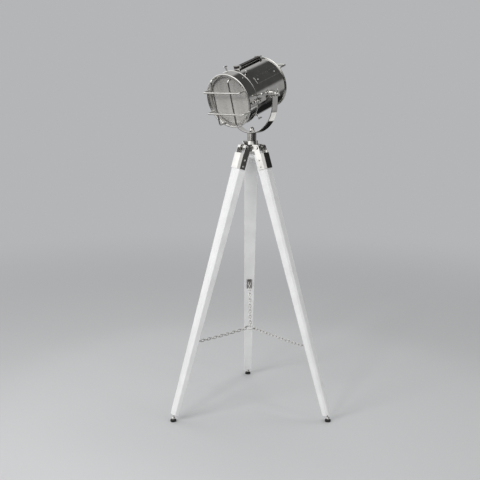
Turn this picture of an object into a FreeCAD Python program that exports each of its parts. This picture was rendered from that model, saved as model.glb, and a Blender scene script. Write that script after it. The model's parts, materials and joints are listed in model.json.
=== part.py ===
import FreeCAD, Part
import math
import os
import Sketcher

# Floor-standing tripod searchlight lamp, in millimetres and degrees.
# Row frame: +Z up, origin on the floor under the pan axis, rear leg towards +Y.
# Head frame: X to the lamp's side, Y up across the barrel, Z along the beam.
# Leg frame: origin on the leg's hinge axis, X outwards, Y across, Z up the leg.

doc = FreeCAD.newDocument("TripodSearchlight")
sheet = doc.addObject("Spreadsheet::Sheet", "sizes")
nodes = []


class Size:
    """A length or an angle: its number, and its rule in the sheet's aliases."""

    def __init__(self, number, rule):
        self.number = float(number)
        self.rule = rule

    def __add__(self, other):
        other = as_size(other)
        return Size(self.number + other.number, f"({self.rule} + {other.rule})")

    def __sub__(self, other):
        other = as_size(other)
        return Size(self.number - other.number, f"({self.rule} - {other.rule})")

    def __mul__(self, other):
        other = as_size(other)
        return Size(self.number * other.number, f"({self.rule} * {other.rule})")

    def __truediv__(self, other):
        other = as_size(other)
        return Size(self.number / other.number, f"({self.rule} / {other.rule})")

    def __radd__(self, other):
        return as_size(other) + self

    def __rsub__(self, other):
        return as_size(other) - self

    def __rmul__(self, other):
        return as_size(other) * self

    def __neg__(self):
        return as_size(0) - self


def as_size(amount):
    return amount if isinstance(amount, Size) else Size(amount, repr(amount))


def size(name, number, note):
    row = size.rows + 1
    size.rows = row
    sheet.set(f"A{row}", str(number))
    sheet.setAlias(f"A{row}", name)
    sheet.set(f"B{row}", note)
    return Size(number, f"sizes.{name}")


size.rows = 0


def cosine(angle):
    return Size(math.cos(math.radians(angle.number)), f"cos({angle.rule})")


def sine(angle):
    return Size(math.sin(math.radians(angle.number)), f"sin({angle.rule})")


def root(amount):
    return Size(math.sqrt(amount.number), f"sqrt({amount.rule})")


# ---- Driving dimensions -------------------------------------------------

# Tripod
hinge_height = size("hinge_height", 1187.2, "leg hinge axis above the floor")
hinge_circle = size("hinge_circle", 39.3, "leg hinge axis from the pan axis")
leg_splay = size("leg_splay", 16.75, "leg from the vertical when open")
fold_travel = size("fold_travel", 16.0, "how far a leg folds inwards")
leg_top_drop = size("leg_top_drop", 28.0, "hinge axis down to the top of the wood")
leg_top_width = size("leg_top_width", 62.4, "wood across, at the top")
leg_top_depth = size("leg_top_depth", 42.4, "wood outer to inner face, at the top")
leg_foot_width = size("leg_foot_width", 38.4, "wood across, at the foot")
leg_foot_depth = size("leg_foot_depth", 26.7, "wood outer to inner face, at the foot")
leg_edge_round = size("leg_edge_round", 2.5, "rounding of the inner long wood edges")
leg_edge_chamfer = size("leg_edge_chamfer", 8.0, "chamfer on the outer long wood edges")
leg_foot_rise = size("leg_foot_rise", 31.5, "floor to the middle of the wood's end")
foot_ball = size("foot_ball", 8.0, "radius of the levelling ball")
foot_ball_rise = size("foot_ball_rise", 14.0, "ball centre above the floor")
foot_stem = size("foot_stem", 4.0, "radius of the levelling screw")
foot_stem_depth = size("foot_stem_depth", 45.0, "levelling screw inside the wood")
foot_pad_radius = size("foot_pad_radius", 13.0, "radius of the rubber pad")
foot_pad_height = size("foot_pad_height", 9.0, "height of the rubber pad")
foot_pad_edge = size("foot_pad_edge", 1.5, "chamfer on the rubber pad")

# Leg sockets and hinges
sheet_metal = size("sheet_metal", 2.5, "thickness of the leg socket")
seat_gap = size("seat_gap", 0.2, "gap between seated pieces")
socket_length = size("socket_length", 68.0, "socket down the wood")
socket_back = size("socket_back", 12.0, "socket side plate towards the inner face")
ear_radius = size("ear_radius", 13.0, "rounded ears about the hinge axis")
hinge_bolt_radius = size("hinge_bolt_radius", 5.0, "leg hinge bolt")
bolt_head_radius = size("bolt_head_radius", 8.5, "hexagon corners of the hinge bolt")
bolt_head_height = size("bolt_head_height", 5.0, "head and nut of the hinge bolt")
bolt_past_nut = size("bolt_past_nut", 2.0, "hinge bolt's end out of its nut")
turn_gap = size("turn_gap", 0.05, "radial clearance of a turning fit")
cut_past = size("cut_past", 1.0, "how far a cutting shape runs past a face")
socket_screw_radius = size("socket_screw_radius", 3.6, "round head of a socket screw")
socket_screw_shank = size("socket_screw_shank", 1.8, "shank of a socket screw")
socket_screw_depth = size("socket_screw_depth", 14.0, "socket screw into the wood")
socket_screw_height = size("socket_screw_height", 2.0, "head height of a socket screw")
socket_screw_first = size("socket_screw_first", 27.5, "wood top to the upper screw")
socket_screw_pitch = size("socket_screw_pitch", 28.0, "between the two socket screws")

# Hub, pan pole and its lock
rib_inner = size("rib_inner", 12.0, "hub rib, inner side from the lug's middle")
flange_radius = size("flange_radius", 34.0, "round flange of the hub")
flange_drop = size("flange_drop", 16.0, "flange underside below the hinge axis")
flange_height = size("flange_height", 12.0, "thickness of the hub flange")
boss_radius = size("boss_radius", 26.0, "hub boss")
boss_rise = size("boss_rise", 28.8, "top of the hub boss above the hinge axis")
spigot_radius = size("spigot_radius", 12.0, "pan spigot inside the boss")
spigot_length = size("spigot_length", 34.0, "pan spigot down into the boss")
boss_gap = size("boss_gap", 0.3, "running gap between the boss and the pole")
pole_radius = size("pole_radius", 19.0, "pole between the hub and the yoke")
pole_length = size("pole_length", 30.5, "visible length of the pole")
stud_radius = size("stud_radius", 5.0, "stud through the foot of the yoke")
lock_bearing = size("lock_bearing", 210.0, "direction of the pan lock screw")
lock_rise = size("lock_rise", 19.0, "pan lock screw above the hinge axis")
lock_radius = size("lock_radius", 4.0, "shank of the pan lock screw")
lock_collar = size("lock_collar", 8.0, "collar round the pan lock screw")
lock_collar_end = size("lock_collar_end", 31.0, "collar's end from the pan axis")
lock_turn = size("lock_turn", 45.0, "how far the lock's wings are turned")
lock_wing_span = size("lock_wing_span", 22.0, "wings of the pan lock screw")
lock_wing_length = size("lock_wing_length", 12.0, "wing measured along the screw")
wing_thickness = size("wing_thickness", 4.0, "thickness of a wing")

# Yoke and tilt pivot
pan_rest = size("pan_rest", 229.5, "bearing of the beam at rest")
tilt_rest = size("tilt_rest", 17.6, "beam below the horizontal at rest")
strap_width = size("strap_width", 36.0, "width of the yoke strap")
strap_thickness = size("strap_thickness", 4.0, "thickness of the yoke strap")
arm_length = size("arm_length", 45.0, "straight part of a yoke arm, to the pivot")
arm_top = size("arm_top", 14.0, "yoke arm above the pivot")
pivot_drop = size("pivot_drop", 20.0, "tilt axis below the barrel axis")
pivot_space = size("pivot_space", 12.0, "barrel to the yoke's inner face")
pivot_pad_radius = size("pivot_pad_radius", 17.0, "flat pivot pads on the barrel")
pivot_pad_proud = size("pivot_pad_proud", 8.5, "pivot pad outside the barrel")
pivot_pad_depth = size("pivot_pad_depth", 15.7, "thickness of a pivot pad")
pivot_bolt_radius = size("pivot_bolt_radius", 5.0, "tilt bolt")
pivot_head_radius = size("pivot_head_radius", 9.0, "tilt bolt head in the barrel")
pivot_head_height = size("pivot_head_height", 5.0, "height of the tilt bolt head")
pivot_end_inset = size("pivot_end_inset", 1.0, "tilt bolt's end inside the knob")
washer_radius = size("washer_radius", 15.0, "friction washer")
knob_length = size("knob_length", 19.5, "lever hub and wing nut along the bolt")
knob_radius = size("knob_radius", 9.0, "lever hub and wing nut")
lever_reach = size("lever_reach", 110.0, "tilt axis to the ball of the lever")
lever_radius = size("lever_radius", 2.6, "rod of the tilt lever")
lever_ball = size("lever_ball", 5.5, "ball on the tilt lever")
lever_inset = size("lever_inset", 5.0, "lever rod in from the hub's outer end")
knob_wing = size("knob_wing", 24.0, "wing on the lever hub and on the wing nut")
wing_root = size("wing_root", 4.5, "half the width of a wing at the hub")
acorn_corner = size("acorn_corner", 12.5, "hexagon corners of the acorn nut")
acorn_hex = size("acorn_hex", 8.0, "hexagon height of the acorn nut")
acorn_dome = size("acorn_dome", 9.5, "dome radius of the acorn nut")
acorn_neck = size("acorn_neck", 6.0, "straight part below the dome")
acorn_lift = size("acorn_lift", 0.7, "flat nut above the curved strap")

# Barrel and rear cover
barrel_radius = size("barrel_radius", 108.0, "outside of the barrel")
barrel_wall = size("barrel_wall", 1.5, "sheet of the barrel, cover and bezel")
barrel_front = size("barrel_front", 118.0, "front edge of the barrel")
barrel_rear = size("barrel_rear", 94.5, "rear edge of the barrel, behind the pan axis")
rim_proud = size("rim_proud", 5.5, "rear cover's rim outside the barrel")
cover_rim_width = size("cover_rim_width", 6.0, "rolled rim of the rear cover")
cover_rise = size("cover_rise", 12.0, "dome of the rear cover")
cover_flat = size("cover_flat", 46.0, "radius of the flat middle of the rear cover")
cover_shoulder = size("cover_shoulder", 4.0, "start of the dome, in from the barrel")
handle_rod = size("handle_rod", 3.4, "radius of the rear handle's rod")
handle_inset = size("handle_inset", 2.9, "rear handle's feet in from the cover's rim")
handle_rise = size("handle_rise", 64.0, "rear handle above the barrel axis")
handle_depth = size("handle_depth", 45.0, "rear handle behind the cover's rim")
handle_bend = size("handle_bend", 9.0, "bend radius of the rear handle")
gland_drop = size("gland_drop", 66.0, "cable gland below the barrel axis")
gland_radius = size("gland_radius", 9.0, "body of the cable gland")
gland_bore = size("gland_bore", 4.0, "bore of the cable gland")
gland_neck = size("gland_neck", 4.8, "neck of the cable gland, through the cover")
gland_nut = size("gland_nut", 11.0, "hexagon corners of the cable gland")
gland_nut_height = size("gland_nut_height", 5.0, "hexagon of the cable gland")
gland_length = size("gland_length", 24.0, "cable gland behind the cover")

# Carry strap
strap_grip_width = size("strap_grip_width", 25.0, "leather carry strap across")
strap_grip_height = size("strap_grip_height", 8.0, "leather carry strap thickness")
strap_grip_seat = size("strap_grip_seat", 3.6, "strap above the top of the barrel")
strap_grip_front = size("strap_grip_front", 78.0, "front end of the carry strap")
strap_grip_rear = size("strap_grip_rear", 86.0, "rear end of the carry strap")
strap_grip_round = size("strap_grip_round", 3.0, "rounded edges of the carry strap")
loop_length = size("loop_length", 12.0, "metal loop along the strap")
loop_wall = size("loop_wall", 3.0, "metal loop's wall")
loop_inset = size("loop_inset", 3.0, "loop in from the strap's end")

# Side plate
plate_middle = size("plate_middle", 33.8, "side plate's middle, from the side upwards")
plate_sweep = size("plate_sweep", 16.4, "side plate round the barrel")
plate_thickness = size("plate_thickness", 1.0, "side plate")
plate_front = size("plate_front", 75.0, "front end of the side plate")
plate_length = size("plate_length", 147.0, "side plate along the barrel")
rivet_front = size("rivet_front", 58.8, "front rivet")
rivet_pitch = size("rivet_pitch", 114.3, "between the rivets")
rivet_radius = size("rivet_radius", 3.4, "rivet head")
rivet_height = size("rivet_height", 1.8, "rivet head above the plate")

# Bezel, the hinged front door
skirt_clearance = size("skirt_clearance", 5.0, "barrel to the inside of the bezel skirt")
skirt_rear = size("skirt_rear", 113.0, "rear lip of the bezel skirt")
bezel_front = size("bezel_front", 167.0, "front of the bezel's bead")
bead_radius = size("bead_radius", 3.0, "rolled bead at the front of the bezel")
lip_radius = size("lip_radius", 1.2, "rolled lip at the rear of the bezel")
face_recess = size("face_recess", 6.0, "flat face behind the bead's front")
window_lap = size("window_lap", 6.0, "edge of the window before the glass")
window_depth = size("window_depth", 11.0, "inner sleeve of the window")
glass_inset = size("glass_inset", 5.5, "front glass from the inside of the skirt")
glass_thickness = size("glass_thickness", 3.0, "front glass")
gasket_thickness = size("gasket_thickness", 1.5, "rubber ring before the glass")
band_length = size("band_length", 22.0, "retaining ring behind the glass")
band_gap = size("band_gap", 0.3, "retaining ring from the inside of the skirt")
guard_inset = size("guard_inset", 8.0, "feet of the guard rods in from the skirt's edge")
guard_offset = size("guard_offset", 45.6, "guard rod off the axis")
guard_standoff = size("guard_standoff", 34.8, "upper guard rods before the bezel")
guard_radius = size("guard_radius", 2.9, "radius of a guard rod")
guard_bend = size("guard_bend", 8.0, "bend radius of a guard rod")
thumb_shank = size("thumb_shank", 3.0, "shank of a bezel thumb screw")
thumb_reach = size("thumb_reach", 25.0, "bezel thumb screw outside the barrel")
thumb_head_span = size("thumb_head_span", 17.0, "crossbar of a bezel thumb screw")
thumb_head_radius = size("thumb_head_radius", 3.2, "crossbar of a bezel thumb screw")
thumb_station = size("thumb_station", 97.0, "thumb screws along the axis")
thumb_inside = size("thumb_inside", 2.0, "end of a thumb screw inside the barrel")
thumb_collar_wall = size("thumb_collar_wall", 1.6, "collar of a thumb screw, round its shank")
thumb_collar_length = size("thumb_collar_length", 5.0, "collar of a thumb screw")

# Door hinge and closing screw
hinge_out = size("hinge_out", 13.0, "door hinge axis outside the barrel")
door_station = size("door_station", 109.0, "door hinge axis along the barrel")
door_pin = size("door_pin", 2.0, "radius of the door hinge pin")
knuckle_radius = size("knuckle_radius", 4.2, "door hinge knuckles")
knuckle_half = size("knuckle_half", 10.0, "half the height of the middle knuckle")
hinge_half = size("hinge_half", 24.0, "half the height of the door hinge")
knuckle_gap = size("knuckle_gap", 0.4, "gap between hinge knuckles")
leaf_thickness = size("leaf_thickness", 2.0, "door hinge leaf")
leaf_length = size("leaf_length", 34.0, "door hinge leaf along the barrel")
leaf_foot_length = size("leaf_foot_length", 8.0, "foot of the door leaf, along the skirt")
leaf_foot_inset = size("leaf_foot_inset", 4.0, "foot of the door leaf from the leaf's end")
pin_cap_wall = size("pin_cap_wall", 1.2, "cap of the door hinge pin, round the pin")
pin_cap_height = size("pin_cap_height", 2.4, "cap of the door hinge pin")
closing_out = size("closing_out", 13.0, "closing screw outside the barrel")
closing_drop = size("closing_drop", 11.0, "closing screw below the barrel axis")
closing_radius = size("closing_radius", 2.5, "closing screw's shank")
closing_head = size("closing_head", 6.0, "closing screw's knurled head")
closing_head_length = size("closing_head_length", 9.0, "closing screw's knurled head")
closing_front = size("closing_front", 158.0, "front of the closing screw")
closing_tip = size("closing_tip", 98.0, "rear end of the closing screw")
closing_collar = size("closing_collar", 4.5, "washer before the bezel's lug")
closing_collar_length = size("closing_collar_length", 4.0, "washer before the bezel's lug")
lug_half = size("lug_half", 6.0, "half the size of a closing lug")
lug_start = size("lug_start", 4.0, "bezel's lug before the skirt's rear lip")
lug_length = size("lug_length", 6.0, "bezel's lug along the screw")
lug_root = size("lug_root", 1.2, "bezel's lug sunk into the skirt")
bracket_lug_length = size("bracket_lug_length", 14.0, "bracket's lug along the screw")
bracket_rear = size("bracket_rear", 54.0, "rear end of the closing bracket")
bracket_front = size("bracket_front", 109.0, "front end of the closing bracket")
bracket_half = size("bracket_half", 17.0, "half the height of the closing bracket")

# Inside the barrel
dish_gap = size("dish_gap", 8.5, "reflector bowl from the inside of the barrel")
dish_wall = size("dish_wall", 1.0, "reflector sheet")
dish_front = size("dish_front", 114.0, "reflector rim along the axis")
dish_neck = size("dish_neck", 24.0, "hole in the reflector for the lamp holder")
dish_rim = size("dish_rim", 2.0, "flat rim of the reflector")
holder_radius = size("holder_radius", 20.0, "lamp holder")
holder_step = size("holder_step", 4.0, "lamp holder's shoulder on the bridge")
holder_rear = size("holder_rear", 46.0, "lamp holder behind the pan axis")
holder_front = size("holder_front", 12.0, "front of the lamp holder")
holder_bore = size("holder_bore", 13.6, "socket in the lamp holder")
holder_bore_depth = size("holder_bore_depth", 28.0, "depth of the socket")
cap_radius = size("cap_radius", 13.0, "screw cap of the bulb")
bulb_radius = size("bulb_radius", 30.0, "globe of the bulb")
bulb_middle = size("bulb_middle", 62.0, "middle of the bulb's globe")
bulb_neck_angle = size("bulb_neck_angle", 30.0, "where the neck meets the globe")
bulb_neck_flare = size("bulb_neck_flare", 1.0, "bulb's neck outside its cap")
bridge_width = size("bridge_width", 34.0, "bridge that carries the lamp holder")
bridge_thickness = size("bridge_thickness", 2.5, "bridge that carries the lamp holder")
bridge_station = size("bridge_station", 30.0, "bridge behind the pan axis")

# Spreader chain
chain_ring = size("chain_ring", 23.0, "middle of the centre ring's wire")
chain_ring_wire = size("chain_ring_wire", 2.2, "radius of the ring's wire")
chain_ring_height = size("chain_ring_height", 368.0, "centre ring above the floor")
link_wire = size("link_wire", 1.5, "radius of the link wire")
link_half_width = size("link_half_width", 5.2, "link, axis to the middle of its wire")
link_slack = size("link_slack", 0.5, "play between two links")
hook_left_height = size("hook_left_height", 353.0, "hook on the left leg")
hook_right_height = size("hook_right_height", 332.0, "hook on the right leg")
hook_rear_height = size("hook_rear_height", 534.0, "hook on the rear leg")
hook_reach = size("hook_reach", 9.0, "hook eye from the wood")
hook_wire = size("hook_wire", 1.8, "radius of the hook's wire")
hook_rise = size("hook_rise", 6.0, "eye of the hook above its post")
hook_plate_width = size("hook_plate_width", 24.0, "hook plate across the leg")
hook_plate_length = size("hook_plate_length", 50.0, "hook plate along the leg")
hook_plate_rise = size("hook_plate_rise", 12.5, "hook plate above the hook's eye")
hook_plate_thickness = size("hook_plate_thickness", 2.0, "hook plate")
chain_sag = size("chain_sag", 3.0, "sag of a chain strand")
LINKS_IN_STRAND = 16

doc.recompute()

# ---- Sizes that follow from the driving ones -----------------------------

splay_cos = cosine(leg_splay)
splay_sin = sine(leg_splay)
flange_bottom = hinge_height - flange_drop
boss_top = hinge_height + boss_rise
pole_bottom = boss_top + boss_gap
pole_top = pole_bottom + pole_length
yoke_inner = barrel_radius + pivot_space
yoke_outer = yoke_inner + strap_thickness
arc_height = pole_top + yoke_outer
pivot_height = arc_height + arm_length
head_height = pivot_height + pivot_drop
pivot_up = -(pivot_drop * cosine(tilt_rest))
pivot_along = pivot_drop * sine(tilt_rest)
wood_bottom = -((hinge_height - leg_foot_rise) / splay_cos)
ball_down = -((hinge_height - foot_ball_rise) / splay_cos)
ball_circle = hinge_circle + (hinge_height - foot_ball_rise) * splay_sin / splay_cos
wood_length = -(wood_bottom + leg_top_drop)
socket_inner_side = leg_top_width / 2 + seat_gap
socket_outer_side = socket_inner_side + sheet_metal
barrel_bore = barrel_radius - barrel_wall
dish_radius = barrel_bore - dish_gap
rim_radius = barrel_radius + rim_proud
handle_circle = rim_radius - handle_inset
handle_half = root(handle_circle * handle_circle - handle_rise * handle_rise)
skirt_inner = barrel_radius + skirt_clearance
skirt_radius = skirt_inner + barrel_wall
glass_radius = skirt_inner - glass_inset
window_radius = glass_radius - window_lap
band_radius = skirt_inner - band_gap
guard_ring = skirt_radius - guard_inset
door_side = barrel_radius + hinge_out
closing_side = barrel_radius + closing_out
face_back = bezel_front - face_recess
sleeve_back = face_back - window_depth
glass_front = sleeve_back - gasket_thickness - 2 * seat_gap
glass_back = glass_front - glass_thickness
band_front = glass_back - seat_gap
band_back = band_front - band_length
knob_start = yoke_outer + seat_gap
knob_end = knob_start + knob_length


# ---- Placements -----------------------------------------------------------

def spot(x=0, y=0, z=0, yaw=0, pitch=0, roll=0):
    numbers = [as_size(amount).rule for amount in (x, y, z, yaw, pitch, roll)]
    vector = "vector({}; {}; {})".format(*numbers[:3])
    turn = "rotation({}; {}; {})".format(*numbers[3:])
    return f"placement({vector}; {turn})"


FLOOR = spot()
YOKE = spot(yaw=pan_rest + 90)
HEAD = spot(z=head_height, yaw=pan_rest + 90, roll=tilt_rest + 90)
AXIS_TURNS = {"X": (0, 90, 0), "Y": (0, 0, -90), "Z": (0, 0, 0)}


def leg_spot(bearing):
    x = hinge_circle * math.cos(math.radians(bearing))
    y = hinge_circle * math.sin(math.radians(bearing))
    return spot(x, y, hinge_height, bearing, -leg_splay)


# ---- Shapes from primitives ------------------------------------------------

def bind(thing, **amounts):
    for name, amount in amounts.items():
        thing.setExpression(name, as_size(amount).rule)


def place(thing, where):
    thing.setExpression("Placement", where)
    return thing


def box(low, high):
    solid = doc.addObject("Part::Box", "Block")
    spans = [as_size(high[i]) - low[i] for i in range(3)]
    bind(solid, Length=spans[0], Width=spans[1], Height=spans[2])
    return place(solid, spot(*low))


def rod(radius, start, length, axis="Z", turn=None):
    solid = doc.addObject("Part::Cylinder", "Rod")
    bind(solid, Radius=radius, Height=length)
    return place(solid, spot(*start, *(turn or AXIS_TURNS[axis])))


def ball(radius, centre):
    solid = doc.addObject("Part::Sphere", "Ball")
    bind(solid, Radius=radius)
    return place(solid, spot(*centre))


def torus(radius, wire, centre, turn=(0, 0, 0), sweep=360):
    solid = doc.addObject("Part::Torus", "Torus")
    bind(solid, Radius1=radius, Radius2=wire, Angle3=sweep)
    return place(solid, spot(*centre, *turn))


def hexagon(corner, start, length, axis="Z"):
    solid = doc.addObject("Part::Prism", "Hexagon")
    solid.Polygon = 6
    bind(solid, Circumradius=corner, Height=length)
    return place(solid, spot(*start, *AXIS_TURNS[axis]))


def fuse(*solids):
    joined = doc.addObject("Part::MultiFuse", "Fused")
    joined.Shapes = list(solids)
    joined.Refine = True
    return joined


def group(*solids):
    together = doc.addObject("Part::Compound", "Group")
    together.Links = list(solids)
    return together


def cut(base, *tools):
    remainder = doc.addObject("Part::Cut", "Cut")
    remainder.Base = base
    remainder.Tool = tools[0] if len(tools) == 1 else fuse(*tools)
    return remainder


def node(solid, name, frame):
    """Keeps a finished piece under its own name, in its own frame."""
    solid.Label = name
    place(solid, frame)
    nodes.append(solid)
    return solid


# ---- Shapes from sketches ---------------------------------------------------

def new_body(name):
    return doc.addObject("PartDesign::Body", name + "_body")


def new_sketch(body, role, offset=None):
    sketch = body.newObject("Sketcher::SketchObject", "Sketch")
    plane = [item for item in body.Origin.OriginFeatures if item.Role == role][0]
    sketch.AttachmentSupport = [(plane, "")]
    sketch.MapMode = "FlatFace"
    if offset is not None:
        sketch.setExpression("AttachmentOffset.Base.z", offset.rule)
    return sketch


def fix_corner(sketch, edge, end, across, up):
    for kind, amount in (("DistanceX", across), ("DistanceY", up)):
        rule = Sketcher.Constraint(kind, -1, 1, edge, end, amount.number)
        sketch.setExpression(f"Constraints[{sketch.addConstraint(rule)}]", amount.rule)


def outline(sketch, corners):
    """A closed run of straight edges, each corner held by two rules."""
    spots = [(as_size(across), as_size(up)) for across, up in corners]
    points = [FreeCAD.Vector(across.number, up.number, 0) for across, up in spots]
    first = sketch.GeometryCount
    count = len(points)
    for i in range(count):
        edge = Part.LineSegment(points[i], points[(i + 1) % count])
        sketch.addGeometry(edge, False)
    for i in range(count):
        follower = first + (i + 1) % count
        sketch.addConstraint(Sketcher.Constraint("Coincident", first + i, 2, follower, 1))
        fix_corner(sketch, first + i, 1, *spots[i])
    return sketch


def turned(name, *outlines):
    """A body turned about its own Z: corners are (radius, height)."""
    body = new_body(name)
    sketch = new_sketch(body, "XZ_Plane")
    for corners in outlines:
        outline(sketch, corners)
    lathe = body.newObject("PartDesign::Revolution", "Turned")
    lathe.Profile = sketch
    lathe.ReferenceAxis = (sketch, ["V_Axis"])
    lathe.Angle = 360
    return body


def tube(inner, outer, low, high):
    return [(inner, low), (outer, low), (outer, high), (inner, high)]


def rectangle(half_across, half_up):
    across = as_size(half_across)
    up = as_size(half_up)
    return [(-across, -up), (across, -up), (across, up), (-across, up)]


def edges_along_z(shape, least, side=0):
    """Names of the long edges that run mostly along Z, on one side in X if it is given."""
    found = []
    for i, edge in enumerate(shape.Edges, 1):
        span = edge.Vertexes[-1].Point - edge.Vertexes[0].Point
        if abs(span.z) > least and edge.CenterOfMass.x * side >= 0:
            found.append(f"Edge{i}")
    return found


def round_edges(body, feature, least, radius, side=0):
    doc.recompute()
    rounding = body.newObject("PartDesign::Fillet", "Rounded")
    rounding.Base = (feature, edges_along_z(feature.Shape, least, side))
    bind(rounding, Radius=radius)
    return rounding


def chamfer_edges(body, feature, least, reach, side=0):
    doc.recompute()
    chamfer = body.newObject("PartDesign::Chamfer", "Chamfered")
    chamfer.Base = (feature, edges_along_z(feature.Shape, least, side))
    bind(chamfer, Size=reach)
    return chamfer


# ---- Tripod -------------------------------------------------------------------

def make_hub():
    bottom = flange_bottom
    middle = rod(boss_radius, (0, 0, bottom), boss_top - bottom)
    flange = rod(flange_radius, (0, 0, bottom), flange_height)
    collar_length = lock_collar_end - spigot_radius
    collar_turn = (lock_bearing, 90, 0)
    collar_foot = (spigot_radius * cosine(lock_bearing), spigot_radius * sine(lock_bearing),
                   hinge_height + lock_rise)
    collar = rod(lock_collar, collar_foot, collar_length, turn=collar_turn)
    pieces = [middle, flange, collar]
    rib_outer = socket_inner_side - 2 * seat_gap
    rib_top = hinge_height + ear_radius
    for bearing in LEG_BEARINGS.values():
        turn = spot(yaw=bearing)
        blocks = []
        for low, high in ((rib_inner, rib_outer), (-rib_outer, -rib_inner)):
            blocks.append(box((0, low, bottom), (hinge_circle, high, rib_top)))
            blocks.append(rod(ear_radius, (hinge_circle, low, hinge_height),
                              as_size(high) - low, "Y"))
        pieces.append(place(fuse(*blocks), turn))
    solid = fuse(*pieces)
    holes = [rod(spigot_radius + turn_gap, (0, 0, boss_top - spigot_length - seat_gap),
                 spigot_length + seat_gap + cut_past)]
    holes.append(rod(lock_radius + turn_gap, collar_foot, collar_length + cut_past,
                     turn=collar_turn))
    half_pin = socket_outer_side
    for bearing in LEG_BEARINGS.values():
        pin = rod(hinge_bolt_radius + turn_gap, (hinge_circle, -half_pin, hinge_height),
                  2 * half_pin, "Y")
        holes.append(place(group(pin), spot(yaw=bearing)))
    node(cut(solid, *holes), "hub", FLOOR)


def make_pan_lock_screw():
    """Modelled along +X from the pan axis, then turned to its bearing."""
    tip = spigot_radius + turn_gap + seat_gap
    head = lock_collar_end + seat_gap
    head_length = lock_wing_length / 2
    shank = rod(lock_radius, (tip, 0, 0), head - tip, "X")
    knob = rod(lock_collar - wing_thickness / 2, (head, 0, 0), head_length, "X")
    low = (head + head_length / 2, -(wing_thickness / 2), -(lock_wing_span / 2))
    high = (head + lock_wing_length, wing_thickness / 2, lock_wing_span / 2)
    wings = box(low, high)
    place_here = spot(z=hinge_height + lock_rise, yaw=lock_bearing, roll=lock_turn)
    node(fuse(shank, knob, wings), "pan_lock_screw", place_here)


def make_leg(name, frame):
    body = new_body(name)
    top = new_sketch(body, "XY_Plane", -leg_top_drop)
    outline(top, rectangle(leg_top_depth / 2, leg_top_width / 2))
    foot = new_sketch(body, "XY_Plane", wood_bottom)
    outline(foot, rectangle(leg_foot_depth / 2, leg_foot_width / 2))
    loft = body.newObject("PartDesign::AdditiveLoft", "Tapered")
    loft.Profile = top
    loft.Sections = [foot]
    least = wood_length.number / 2
    chamfer = chamfer_edges(body, loft, least, leg_edge_chamfer, side=1)
    round_edges(body, chamfer, least, leg_edge_round, side=-1)
    bore = new_sketch(body, "XY_Plane", wood_bottom)
    ring = bore.addGeometry(Part.Circle(FreeCAD.Vector(), FreeCAD.Vector(0, 0, 1),
                                        foot_stem.number), False)
    bore.addConstraint(Sketcher.Constraint("Coincident", ring, 3, -1, 1))
    radius = bore.addConstraint(Sketcher.Constraint("Radius", ring, foot_stem.number))
    bore.setExpression(f"Constraints[{radius}]", (foot_stem + turn_gap).rule)
    pocket = body.newObject("PartDesign::Pocket", "StemBore")
    pocket.Profile = bore
    pocket.Reversed = True
    bind(pocket, Length=foot_stem_depth + seat_gap)
    node(body, name, frame)


def channel(inner_side, front, corner):
    """Half of a U across the leg, from its open end to the middle of its front."""
    return [(-socket_back, inner_side), (front - corner, inner_side),
            (front, inner_side - corner)]


def make_socket(name, frame):
    front = leg_top_depth / 2 + seat_gap
    low_end = -(leg_top_drop + socket_length)
    diagonal = 2 - math.sqrt(2)
    inner_corner = leg_edge_chamfer + seat_gap * diagonal
    outside = channel(socket_outer_side, front + sheet_metal,
                      inner_corner + sheet_metal * diagonal)
    inside = channel(socket_inner_side, front, inner_corner)
    half = outside + [(x, -y) for x, y in reversed(outside)]
    half += [(x, -y) for x, y in inside] + list(reversed(inside))
    body = new_body(name)
    profile = new_sketch(body, "XY_Plane", low_end)
    outline(profile, half)
    folded = body.newObject("PartDesign::Pad", "Folded")
    folded.Profile = profile
    bind(folded, Length=socket_length)
    pieces = [body]
    for side in (socket_inner_side, -socket_outer_side):
        pieces.append(box((-ear_radius, side, -(leg_top_drop + sheet_metal)),
                          (ear_radius, side + sheet_metal, 0)))
        pieces.append(rod(ear_radius, (0, side, 0), sheet_metal, "Y"))
    hole = rod(hinge_bolt_radius + turn_gap, (0, -socket_outer_side - cut_past, 0),
               2 * (socket_outer_side + cut_past), "Y")
    screw_holes = [rod(socket_screw_shank + seat_gap, *screw_line(side, drop))
                   for side in (1, -1) for drop in socket_screw_drops()]
    node(cut(fuse(*pieces), hole, *screw_holes), name, frame)


def socket_screw_drops():
    first = leg_top_drop + socket_screw_first
    return [first, first + socket_screw_pitch]


def screw_line(side, drop):
    """Start, length and axis of a socket screw's shank, from its inner end."""
    inner = socket_outer_side - socket_screw_depth
    start = inner if side > 0 else -socket_outer_side
    return (0, start, -drop), socket_screw_depth, "Y"


def make_socket_screws(name, frame):
    screws = []
    for side in (1, -1):
        for drop in socket_screw_drops():
            seat = socket_outer_side + turn_gap
            low = seat if side > 0 else -(seat + socket_screw_height)
            head = rod(socket_screw_radius, (0, low, -drop), socket_screw_height, "Y")
            stub = sheet_metal - turn_gap
            end = socket_inner_side + turn_gap if side > 0 else -seat
            shank = rod(socket_screw_shank, (0, end, -drop), stub + turn_gap, "Y")
            screws.append(fuse(head, shank))
    node(group(*screws), name, frame)


def make_hinge_bolt(name, frame):
    face = socket_outer_side + turn_gap
    head = hexagon(bolt_head_radius, (0, -face - bolt_head_height, 0), bolt_head_height, "Y")
    shank = rod(hinge_bolt_radius, (0, -face, 0),
                2 * face + bolt_head_height + bolt_past_nut, "Y")
    nut = hexagon(bolt_head_radius, (0, face, 0), bolt_head_height, "Y")
    bore = rod(hinge_bolt_radius + turn_gap, (0, face - cut_past, 0),
               bolt_head_height + 2 * cut_past, "Y")
    node(group(fuse(head, shank), cut(nut, bore)), name, frame)


def make_foot(name, frame):
    stem_top = wood_bottom + foot_stem_depth
    stem = rod(foot_stem, (0, 0, ball_down), stem_top - ball_down)
    knob = ball(foot_ball, (0, 0, ball_down))
    node(fuse(stem, knob), name, frame)


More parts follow.
